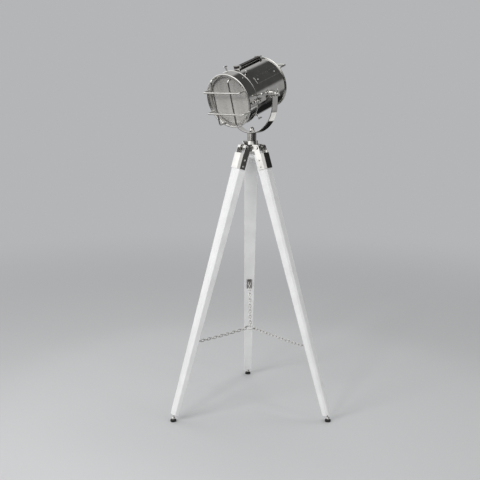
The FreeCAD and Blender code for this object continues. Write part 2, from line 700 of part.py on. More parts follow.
def make_pad(name, bearing):
    body = new_body(name)
    sketch = new_sketch(body, "XZ_Plane")
    rim = foot_pad_radius - foot_pad_edge
    outline(sketch, [(0, 0), (foot_pad_radius, 0),
                     (foot_pad_radius, foot_pad_height - foot_pad_edge),
                     (rim, foot_pad_height), (0, foot_pad_height)])
    lathe = body.newObject("PartDesign::Revolution", "Turned")
    lathe.Profile = sketch
    lathe.ReferenceAxis = (sketch, ["V_Axis"])
    cup = ball(foot_ball + turn_gap, (0, 0, foot_ball_rise))
    x = ball_circle * math.cos(math.radians(bearing))
    y = ball_circle * math.sin(math.radians(bearing))
    node(cut(body, cup), name, spot(x, y, 0, bearing))


# ---- Spreader chain --------------------------------------------------------------

def inner_face(height):
    """Radius and leg-frame height of the wood's inner face at a height."""
    down = (hinge_height - height) / splay_cos
    share = (down - leg_top_drop) / wood_length
    half = (leg_top_depth + (leg_foot_depth - leg_top_depth) * share) / 2
    return half, -down


def hook_eye(height):
    """Middle of the hook's eye in the leg frame, and in the leg's radial plane."""
    half, along = inner_face(height)
    out = -(half + hook_reach)
    radius = hinge_circle + out * splay_cos - along * splay_sin
    level = hinge_height + out * splay_sin + along * splay_cos
    return out, along, radius, level


def make_hook(name, frame, height):
    half, along = inner_face(height)
    out, _, _, _ = hook_eye(height)
    face = -(half + seat_gap)
    taper = (leg_top_depth - leg_foot_depth) / 2 * (hook_plate_length / wood_length)
    back = face - hook_plate_thickness - taper / 2
    top = along + hook_plate_rise
    low = (back, -(hook_plate_width / 2), top - hook_plate_length)
    high = (face - taper / 2, hook_plate_width / 2, top)
    plate = box(low, high)
    post = rod(hook_wire, (out, 0, along - hook_rise), face - taper - out, "X")
    elbow = ball(hook_wire, (out, 0, along - hook_rise))
    bend = rod(hook_wire, (out, 0, along - hook_rise), hook_rise + 2 * hook_wire)
    tip = ball(hook_wire, (out, 0, along + 2 * hook_wire))
    node(fuse(plate, post, elbow, bend, tip), name, frame)


def link_shape(half_length):
    """One oval link of round wire, along X, lying in the XY plane."""
    reach = half_length - link_half_width.number
    width = link_half_width.number
    corner = FreeCAD.Vector
    top = Part.LineSegment(corner(-reach, width, 0), corner(reach, width, 0))
    right = Part.Arc(corner(reach, width, 0), corner(half_length, 0, 0),
                     corner(reach, -width, 0))
    bottom = Part.LineSegment(corner(reach, -width, 0), corner(-reach, -width, 0))
    left = Part.Arc(corner(-reach, -width, 0), corner(-half_length, 0, 0),
                    corner(-reach, width, 0))
    path = Part.Wire([edge.toShape() for edge in (top, right, bottom, left)])
    start = Part.Wire(Part.makeCircle(link_wire.number, corner(-reach, width, 0),
                                      corner(1, 0, 0)))
    return path.makePipeShell([start], True, False)


def strand_points(radius, level, count):
    """Joints of a hanging strand, from the ring to a hook, in a radial plane."""
    radius += (hook_wire + link_slack / 2).number
    slope = math.atan2(level - chain_ring_height.number, radius - chain_ring.number)
    start = chain_ring.number - chain_ring_wire.number * math.cos(slope)
    base = chain_ring_height.number - chain_ring_wire.number * math.sin(slope)
    points = []
    for i in range(count + 1):
        share = i / count
        droop = 4 * chain_sag.number * share * (1 - share)
        across = start + (radius - start) * share
        points.append(FreeCAD.Vector(across, 0, base + (level - base) * share - droop))
    return points


def make_strand(name, bearing, height):
    _, _, radius, level = hook_eye(height)
    points = strand_points(radius.number, level.number, LINKS_IN_STRAND)
    links = []
    for i in range(LINKS_IN_STRAND):
        step = points[i + 1] - points[i]
        half_length = step.Length / 2 + link_wire.number + link_slack.number / 2
        shape = link_shape(half_length)
        upright = 90 if i % 2 == 0 else 0
        shape.rotate(FreeCAD.Vector(), FreeCAD.Vector(1, 0, 0), upright)
        slope = math.degrees(math.atan2(step.z, step.x))
        shape.rotate(FreeCAD.Vector(), FreeCAD.Vector(0, 1, 0), -slope)
        shape.translate((points[i + 1] + points[i]) / 2)
        links.append(shape)
    strand = doc.addObject("Part::Feature", "Strand")
    strand.Shape = Part.Compound(links)
    node(strand, name, spot(yaw=bearing))


def make_chain_ring():
    ring = torus(chain_ring, chain_ring_wire, (0, 0, chain_ring_height))
    node(group(ring), "chain_ring", FLOOR)


# ---- Pole, yoke and tilt pivot -----------------------------------------------------

def make_pole():
    low = boss_top - spigot_length
    solid = turned("pole", [(0, low), (spigot_radius, low), (spigot_radius, pole_bottom),
                            (pole_radius, pole_bottom), (pole_radius, pole_top),
                            (stud_radius, pole_top), (stud_radius, acorn_seat() + acorn_hex),
                            (0, acorn_seat() + acorn_hex)])
    node(solid, "pole", YOKE)


def acorn_seat():
    return pole_top + strap_thickness + acorn_lift


def make_acorn_nut():
    seat = acorn_seat()
    dome_base = seat + acorn_hex
    hex_part = hexagon(acorn_corner, (0, 0, seat), acorn_hex)
    neck = rod(acorn_dome, (0, 0, dome_base), acorn_neck)
    dome = ball(acorn_dome, (0, 0, dome_base + acorn_neck))
    bore = rod(stud_radius + turn_gap, (0, 0, seat - cut_past),
               acorn_hex + cut_past + seat_gap)
    node(cut(fuse(hex_part, neck, dome), bore), "acorn_nut", YOKE)


def make_yoke():
    half = strap_width / 2
    lengthwise = (0, -half, arc_height)
    outer = rod(yoke_outer, lengthwise, strap_width, "Y")
    inner = rod(yoke_inner, lengthwise, strap_width, "Y")
    lid = box((-yoke_outer, -half, arc_height),
              (yoke_outer, half, arc_height + yoke_outer))
    bend = cut(outer, inner, lid)
    arms = []
    holes = []
    for side in (yoke_inner, -yoke_outer):
        arms.append(box((side, -half, arc_height), (side + strap_thickness, half, pivot_height)))
        crown = rod(half, (side, 0, pivot_height), strap_thickness, "X")
        arms.append(crown)
        holes.append(rod(pivot_bolt_radius + turn_gap, (side - cut_past, 0, pivot_height),
                         strap_thickness + 2 * cut_past, "X"))
    holes.append(rod(stud_radius + turn_gap, (0, 0, pole_top - cut_past),
                     strap_thickness + 2 * cut_past))
    trim = box((-yoke_outer - cut_past, -half - cut_past, pivot_height + arm_top),
               (yoke_outer + cut_past, half + cut_past, pivot_height + yoke_outer))
    node(cut(fuse(bend, *arms), trim, *holes), "yoke", YOKE)


def make_pivot_bolts():
    """In the head frame, so that they turn with the barrel."""
    bolts = []
    head_face = barrel_radius + pivot_pad_proud - pivot_pad_depth - seat_gap
    for side in (1, -1):
        start = head_face - pivot_head_height
        low = start if side > 0 else -head_face
        head = rod(pivot_head_radius, (low, pivot_up, pivot_along), pivot_head_height, "X")
        length = knob_end - pivot_end_inset - start
        shank_low = start if side > 0 else -(knob_end - pivot_end_inset)
        shank = rod(pivot_bolt_radius, (shank_low, pivot_up, pivot_along), length, "X")
        bolts.append(fuse(head, shank))
    node(group(*bolts), "pivot_bolts", HEAD)


def make_friction_washers():
    washers = []
    inner = barrel_radius + pivot_pad_proud + seat_gap
    thickness = yoke_inner - seat_gap - inner
    for side in (1, -1):
        low = inner if side > 0 else -(inner + thickness)
        disc = rod(washer_radius, (low, pivot_up, pivot_along), thickness, "X")
        bore = rod(pivot_bolt_radius + turn_gap, (low - cut_past, pivot_up, pivot_along),
                   thickness + 2 * cut_past, "X")
        washers.append(cut(disc, bore))
    node(group(*washers), "friction_washers", HEAD)


def make_tilt_lever():
    """In the yoke frame: the rod points forward, which is -Y there."""
    hub = rod(knob_radius, (knob_start, 0, pivot_height), knob_length, "X")
    line = knob_end - lever_inset
    bar = rod(lever_radius, (line, -lever_reach, pivot_height), lever_reach, "Y")
    tip = ball(lever_ball, (line, -lever_reach, pivot_height))
    low = (line - wing_thickness / 2, -wing_root, pivot_height)
    high = (line + wing_thickness / 2, knob_radius, pivot_height + knob_wing)
    wing = box(low, high)
    bore = rod(pivot_bolt_radius + turn_gap, (knob_start - cut_past, 0, pivot_height),
               knob_length + 2 * cut_past, "X")
    node(cut(fuse(hub, bar, tip, wing), bore), "tilt_lever", YOKE)


def make_wing_nut():
    hub = rod(knob_radius, (-knob_end, 0, pivot_height), knob_length, "X")
    middle = -(knob_end - lever_inset)
    low = (middle - wing_thickness / 2, -knob_wing, pivot_height - wing_root)
    high = (middle + wing_thickness / 2, knob_wing, pivot_height + wing_root)
    wings = box(low, high)
    bore = rod(pivot_bolt_radius + turn_gap, (-knob_end - cut_past, 0, pivot_height),
               knob_length + 2 * cut_past, "X")
    node(cut(fuse(hub, wings), bore), "tilt_wing_nut", YOKE)


# ---- Barrel ------------------------------------------------------------------------

def make_barrel():
    pieces = [turned("barrel", tube(barrel_bore, barrel_radius, -barrel_rear, barrel_front))]
    holes = []
    outer = barrel_radius + pivot_pad_proud
    for side in (1, -1):
        low = outer - pivot_pad_depth if side > 0 else -outer
        pieces.append(rod(pivot_pad_radius, (low, pivot_up, pivot_along),
                          pivot_pad_depth, "X"))
        hole_low = low - cut_past
        holes.append(rod(pivot_bolt_radius + turn_gap, (hole_low, pivot_up, pivot_along),
                         pivot_pad_depth + 2 * cut_past, "X"))
    holes += [thumb_line(thumb_shank + turn_gap, barrel_bore - cut_past,
                         barrel_wall + 2 * cut_past, bearing) for bearing in THUMB_BEARINGS]
    node(cut(fuse(*pieces), *holes), "barrel", HEAD)


def make_rear_cover():
    lap = barrel_radius + seat_gap
    edge = -(barrel_rear + seat_gap)
    rim_end = edge - barrel_wall
    dome_end = rim_end - cover_rise
    shoulder = barrel_radius - cover_shoulder
    corners = [(lap, edge + cover_rim_width), (rim_radius, edge + cover_rim_width),
               (rim_radius, rim_end), (shoulder, rim_end), (cover_flat, dome_end),
               (0, dome_end), (0, dome_end + barrel_wall), (cover_flat, dome_end + barrel_wall),
               (shoulder, edge), (lap, edge)]
    shell = turned("rear_cover", corners)
    bore = rod(gland_neck + seat_gap, (0, -gland_drop, dome_end - cut_past),
               cover_rise + barrel_wall + 2 * cut_past)
    node(cut(shell, bore), "rear_cover", HEAD)


def staple(half, wire, bend, foot, reach, rise, along_x=True):
    """A rod with both ends bent back: across at `reach`, its feet at `foot`."""
    turn = spot() if along_x else spot(yaw=90)
    length = as_size(reach) - foot
    sign = 1 if length.number > 0 else -1
    leg_length = length * sign - bend
    straight = as_size(half) - bend
    low = foot if sign > 0 else reach + bend
    legs = [rod(wire, (side * half, rise, low), leg_length) for side in (1, -1)]
    bar = rod(wire, (-straight, rise, reach), 2 * straight, "X")
    centre = as_size(reach) - bend * sign
    corners = []
    for side in (1, -1):
        if side * sign > 0:
            roll = (0, 0, 90) if sign > 0 else (0, 180, 90)
        else:
            roll = (180, 0, 90) if sign > 0 else (0, 0, -90)
        corners.append(torus(bend, wire, (side * straight, rise, centre), roll, 90))
    return place(fuse(*legs, bar, *corners), turn)


def make_rear_handle():
    foot = -(barrel_rear + 2 * seat_gap + barrel_wall)
    shape = staple(handle_half, handle_rod, handle_bend, foot, foot - handle_depth, handle_rise)
    node(group(shape), "rear_handle", HEAD)


def make_cable_gland():
    """Its flange lies against the slope of the cover's dome."""
    shoulder = barrel_radius - cover_shoulder
    share = (shoulder - gland_drop + gland_nut) / (shoulder - cover_flat)
    start = -(barrel_rear + 2 * seat_gap + barrel_wall + cover_rise * share)
    through = 2 * gland_nut_height
    nut = hexagon(gland_nut, (0, -gland_drop, start - gland_nut_height), gland_nut_height)
    body = rod(gland_radius, (0, -gland_drop, start - gland_length), gland_length)
    neck = rod(gland_neck, (0, -gland_drop, start - cut_past), through)
    bore = rod(gland_bore, (0, -gland_drop, start - gland_length - cut_past),
               gland_length + through + cut_past)
    node(cut(fuse(nut, body, neck), bore), "cable_gland", HEAD)


def make_carry_strap():
    body = new_body("carry_strap")
    low = barrel_radius + strap_grip_seat
    sketch = new_sketch(body, "XY_Plane", -strap_grip_rear)
    half = strap_grip_width / 2
    outline(sketch, [(-half, low), (half, low), (half, low + strap_grip_height),
                     (-half, low + strap_grip_height)])
    pad = body.newObject("PartDesign::Pad", "Strap")
    pad.Profile = sketch
    bind(pad, Length=strap_grip_rear + strap_grip_front)
    round_edges(body, pad, strap_grip_rear.number, strap_grip_round)
    node(body, "carry_strap", HEAD)


def make_strap_loops():
    loops = []
    low = barrel_radius + seat_gap
    inner_low = low + loop_wall
    inner_high = barrel_radius + strap_grip_seat + strap_grip_height + seat_gap
    half = strap_grip_width / 2 + seat_gap
    for start in (strap_grip_front - loop_inset - loop_length, loop_inset - strap_grip_rear):
        outer = box((-half - loop_wall, low, start),
                    (half + loop_wall, inner_high + loop_wall, start + loop_length))
        window = box((-half, inner_low, start - cut_past),
                     (half, inner_high, start + loop_length + cut_past))
        loops.append(cut(outer, window))
    node(group(*loops), "strap_loops", HEAD)


def make_side_plate():
    inner = barrel_radius + seat_gap / 2
    outer = inner + plate_thickness
    start = plate_middle - plate_sweep / 2
    base = (0, 0, plate_front - plate_length)
    sheet_piece = rod(outer, base, plate_length, turn=(start, 0, 0))
    hollow = rod(inner, base, plate_length, turn=(start, 0, 0))
    bind(sheet_piece, Angle=plate_sweep)
    bind(hollow, Angle=plate_sweep)
    through = barrel_wall + plate_thickness + 2 * cut_past
    holes = [rivet(rivet_radius / 2 + seat_gap, barrel_bore, through, along)
             for along in (rivet_front, rivet_front - rivet_pitch)]
    node(cut(sheet_piece, hollow, *holes), "side_plate", HEAD)


def rivet(radius, start, length, along):
    start = as_size(start)
    spot_at = (start * cosine(plate_middle), start * sine(plate_middle), along)
    return rod(radius, spot_at, length, turn=(plate_middle, 90, 0))


def make_rivets():
    rivets = []
    plate_top = barrel_radius + seat_gap / 2 + plate_thickness
    for along in (rivet_front, rivet_front - rivet_pitch):
        head = rivet(rivet_radius, plate_top + turn_gap, rivet_height, along)
        stub = rivet(rivet_radius / 2, barrel_radius + seat_gap, rivet_height, along)
        rivets.append(fuse(head, stub))
    node(group(*rivets), "plate_rivets", HEAD)


# ---- Inside the barrel ---------------------------------------------------------------

def make_reflector():
    outer = ball(dish_radius, (0, 0, dish_front))
    inner = ball(dish_radius - dish_wall, (0, 0, dish_front))
    past = dish_radius + cut_past
    lid = box((-past, -past, dish_front), (past, past, dish_front + past))
    neck = rod(dish_neck, (0, 0, dish_front - past), dish_radius)
    bowl = cut(outer, inner, lid, neck)
    rim = rod(barrel_bore - seat_gap, (0, 0, dish_front - dish_rim), dish_rim)
    rim_hole = rod(dish_radius - dish_wall, (0, 0, dish_front - dish_rim - cut_past),
                   dish_rim + 2 * cut_past)
    node(fuse(bowl, cut(rim, rim_hole)), "reflector", HEAD)


def make_lamp_holder():
    low = -holder_rear
    high = holder_front
    step = holder_radius - holder_step
    body = turned("lamp_holder", [(0, low), (step, low), (step, -bridge_station),
                                  (holder_radius, -bridge_station), (holder_radius, high),
                                  (holder_bore, high), (holder_bore, high - holder_bore_depth),
                                  (0, high - holder_bore_depth)])
    node(body, "lamp_holder", HEAD)


def make_holder_bridge():
    back = -bridge_station - seat_gap - bridge_thickness
    half = bridge_width / 2
    reach = root(barrel_bore * barrel_bore - half * half) - seat_gap
    bar = box((-reach, -half, back), (reach, half, back + bridge_thickness))
    hole = rod(holder_radius - holder_step + seat_gap, (0, 0, back - cut_past),
               bridge_thickness + 2 * cut_past)
    node(cut(bar, hole), "holder_bridge", HEAD)


def make_bulb():
    seat = holder_front - holder_bore_depth + seat_gap
    globe = ball(bulb_radius, (0, 0, bulb_middle))
    shoulder = holder_front + seat_gap
    cap = rod(cap_radius, (0, 0, seat), shoulder - seat)
    neck = doc.addObject("Part::Cone", "Neck")
    top = bulb_middle - bulb_radius * sine(bulb_neck_angle)
    bind(neck, Radius1=cap_radius + bulb_neck_flare, Height=top - shoulder,
         Radius2=bulb_radius * cosine(bulb_neck_angle) - seat_gap)
    place(neck, spot(z=shoulder))
    node(fuse(globe, cap, neck), "bulb", HEAD)


# ---- Hinged bezel ------------------------------------------------------------------------

def make_bezel():
    bead_middle = bezel_front - bead_radius
    sleeve = window_radius + barrel_wall
    rim = skirt_radius
    corners = [(skirt_inner, skirt_rear), (rim, skirt_rear), (rim, bead_middle),
               (skirt_inner, bead_middle), (skirt_inner, face_back), (window_radius, face_back),
               (window_radius, sleeve_back), (sleeve, sleeve_back),
               (sleeve, face_back - barrel_wall), (skirt_inner, face_back - barrel_wall)]
    shell = turned("bezel", corners)
    bead = torus(skirt_inner, bead_radius, (0, 0, bead_middle))
    lip = cut(torus(skirt_radius, lip_radius, (0, 0, skirt_rear + lip_radius)),
              rod(skirt_inner, (0, 0, skirt_rear - cut_past), 2 * (lip_radius + cut_past)))
    lug_back = skirt_rear + lug_start
    lug = box((skirt_radius - lug_root, -closing_drop - lug_half, lug_back),
              (closing_side + lug_half, -closing_drop + lug_half, lug_back + lug_length))
    lug_hole = rod(closing_radius + seat_gap,
                   (closing_side, -closing_drop, lug_back - cut_past),
                   lug_length + 2 * cut_past)
    node(cut(fuse(shell, bead, lip, lug), lug_hole), "bezel", HEAD)


def thumb_line(radius, start, length, bearing):
    """A round bar that stands radially out of the barrel."""
    start = as_size(start)
    x = start * math.cos(math.radians(bearing))
    y = start * math.sin(math.radians(bearing))
    return rod(radius, (x, y, thumb_station), length, turn=(bearing, 90, 0))


def make_thumb_screws():
    screws = []
    tip = barrel_bore - thumb_inside
    end = barrel_radius + thumb_reach
    for bearing in THUMB_BEARINGS:
        shank = thumb_line(thumb_shank, tip, end - tip, bearing)
        collar = thumb_line(thumb_shank + thumb_collar_wall, barrel_radius + seat_gap,
                            thumb_collar_length, bearing)
        x = end * math.cos(math.radians(bearing))
        y = end * math.sin(math.radians(bearing))
        start = (x, y, thumb_station - thumb_head_span / 2)
        bar = rod(thumb_head_radius, start, thumb_head_span)
        screws.append(fuse(shank, collar, bar))
    node(group(*screws), "bezel_thumb_screws", HEAD)


def make_glass_stack():
    glass = turned("front_glass", [(0, glass_back), (glass_radius, glass_back),
                                   (glass_radius, glass_front), (0, glass_front)])
    node(glass, "front_glass", HEAD)
    low = glass_front + seat_gap
    gasket = turned("glass_gasket", tube(window_radius, glass_radius, low,
                                         low + gasket_thickness))
    node(gasket, "glass_gasket", HEAD)
    inner = band_radius - barrel_wall
    lip = window_radius
    corners = [(lip, band_front - barrel_wall), (inner, band_front - barrel_wall),
               (inner, band_back), (band_radius, band_back), (band_radius, band_front),
               (lip, band_front)]
    node(turned("retaining_ring", corners), "retaining_ring", HEAD)


def make_guard_rods():
    half = root(guard_ring * guard_ring - guard_offset * guard_offset)
    foot = face_back + turn_gap
    front = bezel_front + guard_standoff
    behind = front - 2 * guard_radius - turn_gap
    rods = {"guard_rod_top": (front, guard_offset, True),
            "guard_rod_bottom": (front, -guard_offset, True),
            "guard_rod_left": (behind, guard_offset, False),
            "guard_rod_right": (behind, -guard_offset, False)}
    for name, (reach, offset, along_x) in rods.items():
        shape = staple(half, guard_radius, guard_bend, foot, reach, offset, along_x)
        node(group(shape), name, HEAD)


def make_door_hinge():
    """Two leaves and a pin beside the barrel, the pin along the head's Y."""
    near = barrel_radius + seat_gap
    side = -door_side
    total = 2 * hinge_half
    plate = box((-(near + leaf_thickness), -hinge_half, door_station - leaf_length),
                (-near, hinge_half, door_station))
    knuckles = rod(knuckle_radius, (side, -hinge_half, door_station), total, "Y")
    bridge = box((side, -hinge_half, door_station - knuckle_radius),
                 (-near, hinge_half, door_station - knuckle_radius + leaf_thickness))
    clear = knuckle_radius + cut_past
    middle = box((side - clear, -knuckle_half - knuckle_gap, door_station - clear),
                 (-(near + leaf_thickness), knuckle_half + knuckle_gap, door_station + clear))
    bore_spot = (side, -hinge_half - cut_past, door_station)
    bore = rod(door_pin + turn_gap, bore_spot, total + 2 * cut_past, "Y")
    node(cut(fuse(plate, knuckles, bridge), middle, bore), "hinge_leaf_fixed", HEAD)

    lip = skirt_radius + lip_radius + seat_gap
    leaf_high = skirt_rear + leaf_length
    leaf = box((-(lip + leaf_thickness), -knuckle_half, door_station),
               (-lip, knuckle_half, leaf_high))
    knuckle = rod(knuckle_radius, (side, -knuckle_half, door_station), 2 * knuckle_half, "Y")
    foot_end = leaf_high - leaf_foot_inset
    foot = box((-(lip + leaf_thickness / 2), -knuckle_half, foot_end - leaf_foot_length),
               (-(skirt_radius - cut_past), knuckle_half, foot_end))
    skirt_space = rod(skirt_radius + turn_gap, (0, 0, door_station - cut_past),
                      leaf_high - door_station + 2 * cut_past)
    bore = rod(door_pin + turn_gap, bore_spot, total + 2 * cut_past, "Y")
    node(cut(fuse(leaf, knuckle, foot), skirt_space, bore), "hinge_leaf_door", HEAD)
    pin = rod(door_pin, bore_spot, total + 2 * cut_past, "Y")
    cap = rod(door_pin + pin_cap_wall, (side, hinge_half + turn_gap, door_station),
              pin_cap_height, "Y")
    node(fuse(pin, cap), "hinge_pin", HEAD)


def make_closing_screw():
    head_start = closing_front - closing_head_length
    shank = rod(closing_radius, (closing_side, -closing_drop, closing_tip),
                head_start - closing_tip)
    head = rod(closing_head, (closing_side, -closing_drop, head_start), closing_head_length)
    collar_start = skirt_rear + lug_start + lug_length + seat_gap
    collar = rod(closing_collar, (closing_side, -closing_drop, collar_start),
                 closing_collar_length)
    node(fuse(shank, head, collar), "closing_screw", HEAD)


def make_closing_bracket():
    near = barrel_radius + seat_gap
    plate = box((near, -closing_drop - bracket_half, bracket_rear),
                (near + leaf_thickness, -closing_drop + bracket_half, bracket_front))
    lug_back = bracket_front - bracket_lug_length
    lug = box((near, -closing_drop - lug_half, lug_back),
              (closing_side + lug_half, -closing_drop + lug_half, bracket_front))
    hole = rod(closing_radius + seat_gap, (closing_side, -closing_drop, lug_back - cut_past),
               bracket_lug_length + 2 * cut_past)
    barrel_space = rod(near, (0, 0, bracket_rear - cut_past),
                       bracket_front - bracket_rear + 2 * cut_past)
    node(cut(fuse(plate, lug), hole, barrel_space), "closing_bracket", HEAD)


# ---- Assembly --------------------------------------------------------------------------------

LEG_BEARINGS = {"rear": 90, "left": 210, "right": 330}
HOOK_HEIGHTS = {"rear": hook_rear_height, "left": hook_left_height,
                "right": hook_right_height}
THUMB_BEARINGS = (108, 56, -44.5, 215)

make_hub()
make_pan_lock_screw()
for side_name, leg_bearing in LEG_BEARINGS.items():
    leg_frame = leg_spot(leg_bearing)
    make_leg("leg_" + side_name, leg_frame)
    make_socket("leg_socket_" + side_name, leg_frame)
    make_socket_screws("socket_screws_" + side_name, leg_frame)
    make_hinge_bolt("leg_bolt_" + side_name, leg_frame)
    make_foot("foot_screw_" + side_name, leg_frame)
    make_pad("foot_pad_" + side_name, leg_bearing)
    make_hook("chain_hook_" + side_name, leg_frame, HOOK_HEIGHTS[side_name])
    make_strand("chain_" + side_name, leg_bearing, HOOK_HEIGHTS[side_name])
make_chain_ring()

make_pole()
make_yoke()
make_acorn_nut()
make_pivot_bolts()
make_friction_washers()
make_tilt_lever()
make_wing_nut()

make_barrel()
make_rear_cover()
make_rear_handle()
make_cable_gland()
make_carry_strap()
make_strap_loops()
make_side_plate()
make_rivets()
make_reflector()
make_lamp_holder()
make_holder_bridge()
make_bulb()

make_bezel()
make_thumb_screws()
make_glass_stack()
make_guard_rods()
make_door_hinge()
make_closing_screw()
make_closing_bracket()

# ---- Check and write ----------------------------------------------------------------------------

doc.recompute()
for thing in doc.Objects:
    if "Invalid" in thing.State or "Error" in thing.State:
        raise RuntimeError(f"{thing.Name} ({thing.Label}) didn't rebuild")
for piece in nodes:
    if piece.Shape.isNull() or not piece.Shape.isValid() or not piece.Shape.Solids:
        raise RuntimeError(f"{piece.Label} has no valid solid")

os.makedirs("parts", exist_ok=True)
for piece in nodes:
    piece.Shape.exportStep(f"parts/{piece.Label}.step")
print(len(nodes), "pieces written")
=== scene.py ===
import json
import math
import random

import bmesh
import bpy
from mathutils import Matrix, Vector

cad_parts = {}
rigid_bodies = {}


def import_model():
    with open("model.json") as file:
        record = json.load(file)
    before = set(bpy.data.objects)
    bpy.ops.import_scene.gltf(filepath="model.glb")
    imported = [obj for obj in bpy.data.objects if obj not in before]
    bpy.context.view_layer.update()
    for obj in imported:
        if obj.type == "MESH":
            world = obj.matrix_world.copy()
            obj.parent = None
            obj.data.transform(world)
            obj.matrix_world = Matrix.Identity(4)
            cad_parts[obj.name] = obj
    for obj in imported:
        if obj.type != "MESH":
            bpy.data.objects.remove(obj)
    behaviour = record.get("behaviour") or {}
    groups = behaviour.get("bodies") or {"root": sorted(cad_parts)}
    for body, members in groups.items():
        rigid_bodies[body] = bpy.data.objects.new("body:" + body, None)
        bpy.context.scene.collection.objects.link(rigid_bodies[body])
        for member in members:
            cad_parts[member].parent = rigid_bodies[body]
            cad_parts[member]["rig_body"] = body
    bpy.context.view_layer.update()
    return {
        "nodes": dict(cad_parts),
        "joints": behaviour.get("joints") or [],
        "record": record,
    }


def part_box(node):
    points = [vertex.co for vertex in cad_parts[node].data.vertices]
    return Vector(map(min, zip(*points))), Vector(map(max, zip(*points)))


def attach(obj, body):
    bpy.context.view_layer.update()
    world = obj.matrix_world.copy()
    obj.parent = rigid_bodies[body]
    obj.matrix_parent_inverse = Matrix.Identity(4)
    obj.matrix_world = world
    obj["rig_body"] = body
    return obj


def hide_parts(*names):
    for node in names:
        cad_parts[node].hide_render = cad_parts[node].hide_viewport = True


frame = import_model()

# Sizes are in millimetres, each in its piece's own frame, and turned to metres by MM.
# Head frame: X to the lamp's side, Y up across the drum, Z along the beam.
# Yoke frame: X along the tilt axis, Y to the rear, Z up. Leg frame: X outwards, Z up the leg.
MM = 0.001
TURN = 2 * math.pi

# ---- Frames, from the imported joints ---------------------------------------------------


def joint(name):
    return next(j for j in frame["joints"] if j["name"] == name)


def columns(x, y, z, origin):
    matrix = Matrix((x, y, z)).transposed().to_4x4()
    matrix.translation = origin
    return matrix


PIVOT_DROP = 20.0
UP = Vector((0, 0, 1))
pivot_point = Vector(joint("tilt")["pos_m"])
across = Vector(joint("tilt")["axis"])
upright = -Vector(joint("door_open")["axis"])
beam = across.cross(upright)
FLOOR = Matrix.Identity(4)
HEAD = columns(across, upright, beam, pivot_point + UP * PIVOT_DROP * MM)
YOKE = columns(across, UP.cross(across), UP, Vector((0, 0, 0)))
pivot_up = -PIVOT_DROP * upright.z
pivot_along = -PIVOT_DROP * beam.z
PIVOT_HEIGHT = pivot_point.z / MM

SIDES = ("rear", "left", "right")


def leg_frame(side):
    slide = Vector(joint("foot_level_" + side)["axis"])
    across_leg = Vector(joint("leg_fold_" + side)["axis"])
    return columns(across_leg.cross(-slide), across_leg, -slide,
                   Vector(joint("leg_fold_" + side)["pos_m"]))


# ---- Materials ------------------------------------------------------------------------


def colour(hex_value):
    """sRGB hex to the linear colour that a socket takes."""
    parts = [int(hex_value[i:i + 2], 16) / 255 for i in (1, 3, 5)]
    linear = [c / 12.92 if c <= 0.04045 else ((c + 0.055) / 1.055) ** 2.4 for c in parts]
    return (*linear, 1.0)


def grey(value):
    return (value, value, value, 1.0)


def per_metre(millimetres):
    return 1.0 / (millimetres * MM)


def add(tree, kind, settings=None, links=None):
    """One node with its settings, its two colour stops too, and links from other nodes."""
    node = tree.nodes.new(kind)
    for name, value in (settings or {}).items():
        if name == "stops":
            for element, (place, shade) in zip(node.color_ramp.elements, value):
                element.position = place
                element.color = shade
        elif isinstance(name, str) and hasattr(node, name):
            setattr(node, name, value)
        else:
            node.inputs[name].default_value = value
    for name, source in (links or {}).items():
        tree.links.new(source, node.inputs[name])
    return node


def surface(name, patterns=(), **sockets):
    """A material from uneven patterns of a real size.

    A pattern says what it drives, its size in millimetres, how fine and how rough it is, and
    its stretch along the piece's axes. Colour and gloss then take two stops, and relief its
    depth in millimetres and its strength. A relief lies on the one before it.
    """
    material = bpy.data.materials.new(name)
    material.use_nodes = True
    tree = material.node_tree
    shader = tree.nodes["Principled BSDF"]
    for socket, value in sockets.items():
        shader.inputs[socket.replace("_", " ")].default_value = value
    relief = None
    for drives, size_mm, detail, roughness, stretch, first, last in patterns:
        source = add(tree, "ShaderNodeTexCoord")
        where = add(tree, "ShaderNodeMapping", {"Scale": stretch},
                    {"Vector": source.outputs["Object"]})
        uneven = add(tree, "ShaderNodeTexNoise",
                     {"Scale": per_metre(size_mm), "Detail": detail, "Roughness": roughness},
                     {"Vector": where.outputs["Vector"]}).outputs["Fac"]
        if drives == "Normal":
            links = {"Height": uneven}
            if relief is not None:
                links["Normal"] = relief
            relief = add(tree, "ShaderNodeBump", {"Distance": first * MM, "Strength": last},
                         links).outputs["Normal"]
            tree.links.new(relief, shader.inputs["Normal"])
        else:
            shade = add(tree, "ShaderNodeValToRGB", {"stops": (first, last)},
                        {"Fac": uneven}).outputs["Color"]
            tree.links.new(shade, shader.inputs[drives])
    return material, tree, shader


EVEN = (1, 1, 1)


def polished_nickel(name, low=0.05, high=0.14, ripple=0.010, dark="#C2C1BE", light="#D9D8D5"):
    """Nickel plate over spun sheet, buffed: warm grey mirror, faint ripple and haze."""
    return surface(name, (
        ("Base Color", 45.0, 4.0, 0.6, EVEN, (0.3, colour(dark)), (0.7, colour(light))),
        ("Roughness", 9.0, 5.0, 0.65, EVEN, (0.35, grey(low)), (0.75, grey(high))),
        ("Normal", 30.0, 2.0, 0.5, EVEN, ripple * 8, 1.0),
        ("Normal", 2.5, 2.0, 0.5, (1, 1, 9), ripple / 4, 0.5),
    ), Metallic=1.0)[0]


def white_paint():
    """Satin lacquer brushed on wood: white, soft gloss, faint strokes down the leg."""
    return surface("satin_white_lacquer", (
        ("Base Color", 90.0, 3.0, 0.5, EVEN, (0.3, colour("#E6E6E6")), (0.7, colour("#F0F0F0"))),
        ("Roughness", 1.6, 3.0, 0.5, (1, 1, 0.03), (0.3, grey(0.34)), (0.7, grey(0.46))),
        ("Normal", 4.5, 4.0, 0.6, (1, 1, 0.02), 0.10, 0.6),
        ("Normal", 1.6, 3.0, 0.5, (1, 1, 0.03), 0.03, 0.5),
    ), Coat_Weight=0.15, Coat_Roughness=0.25)[0]


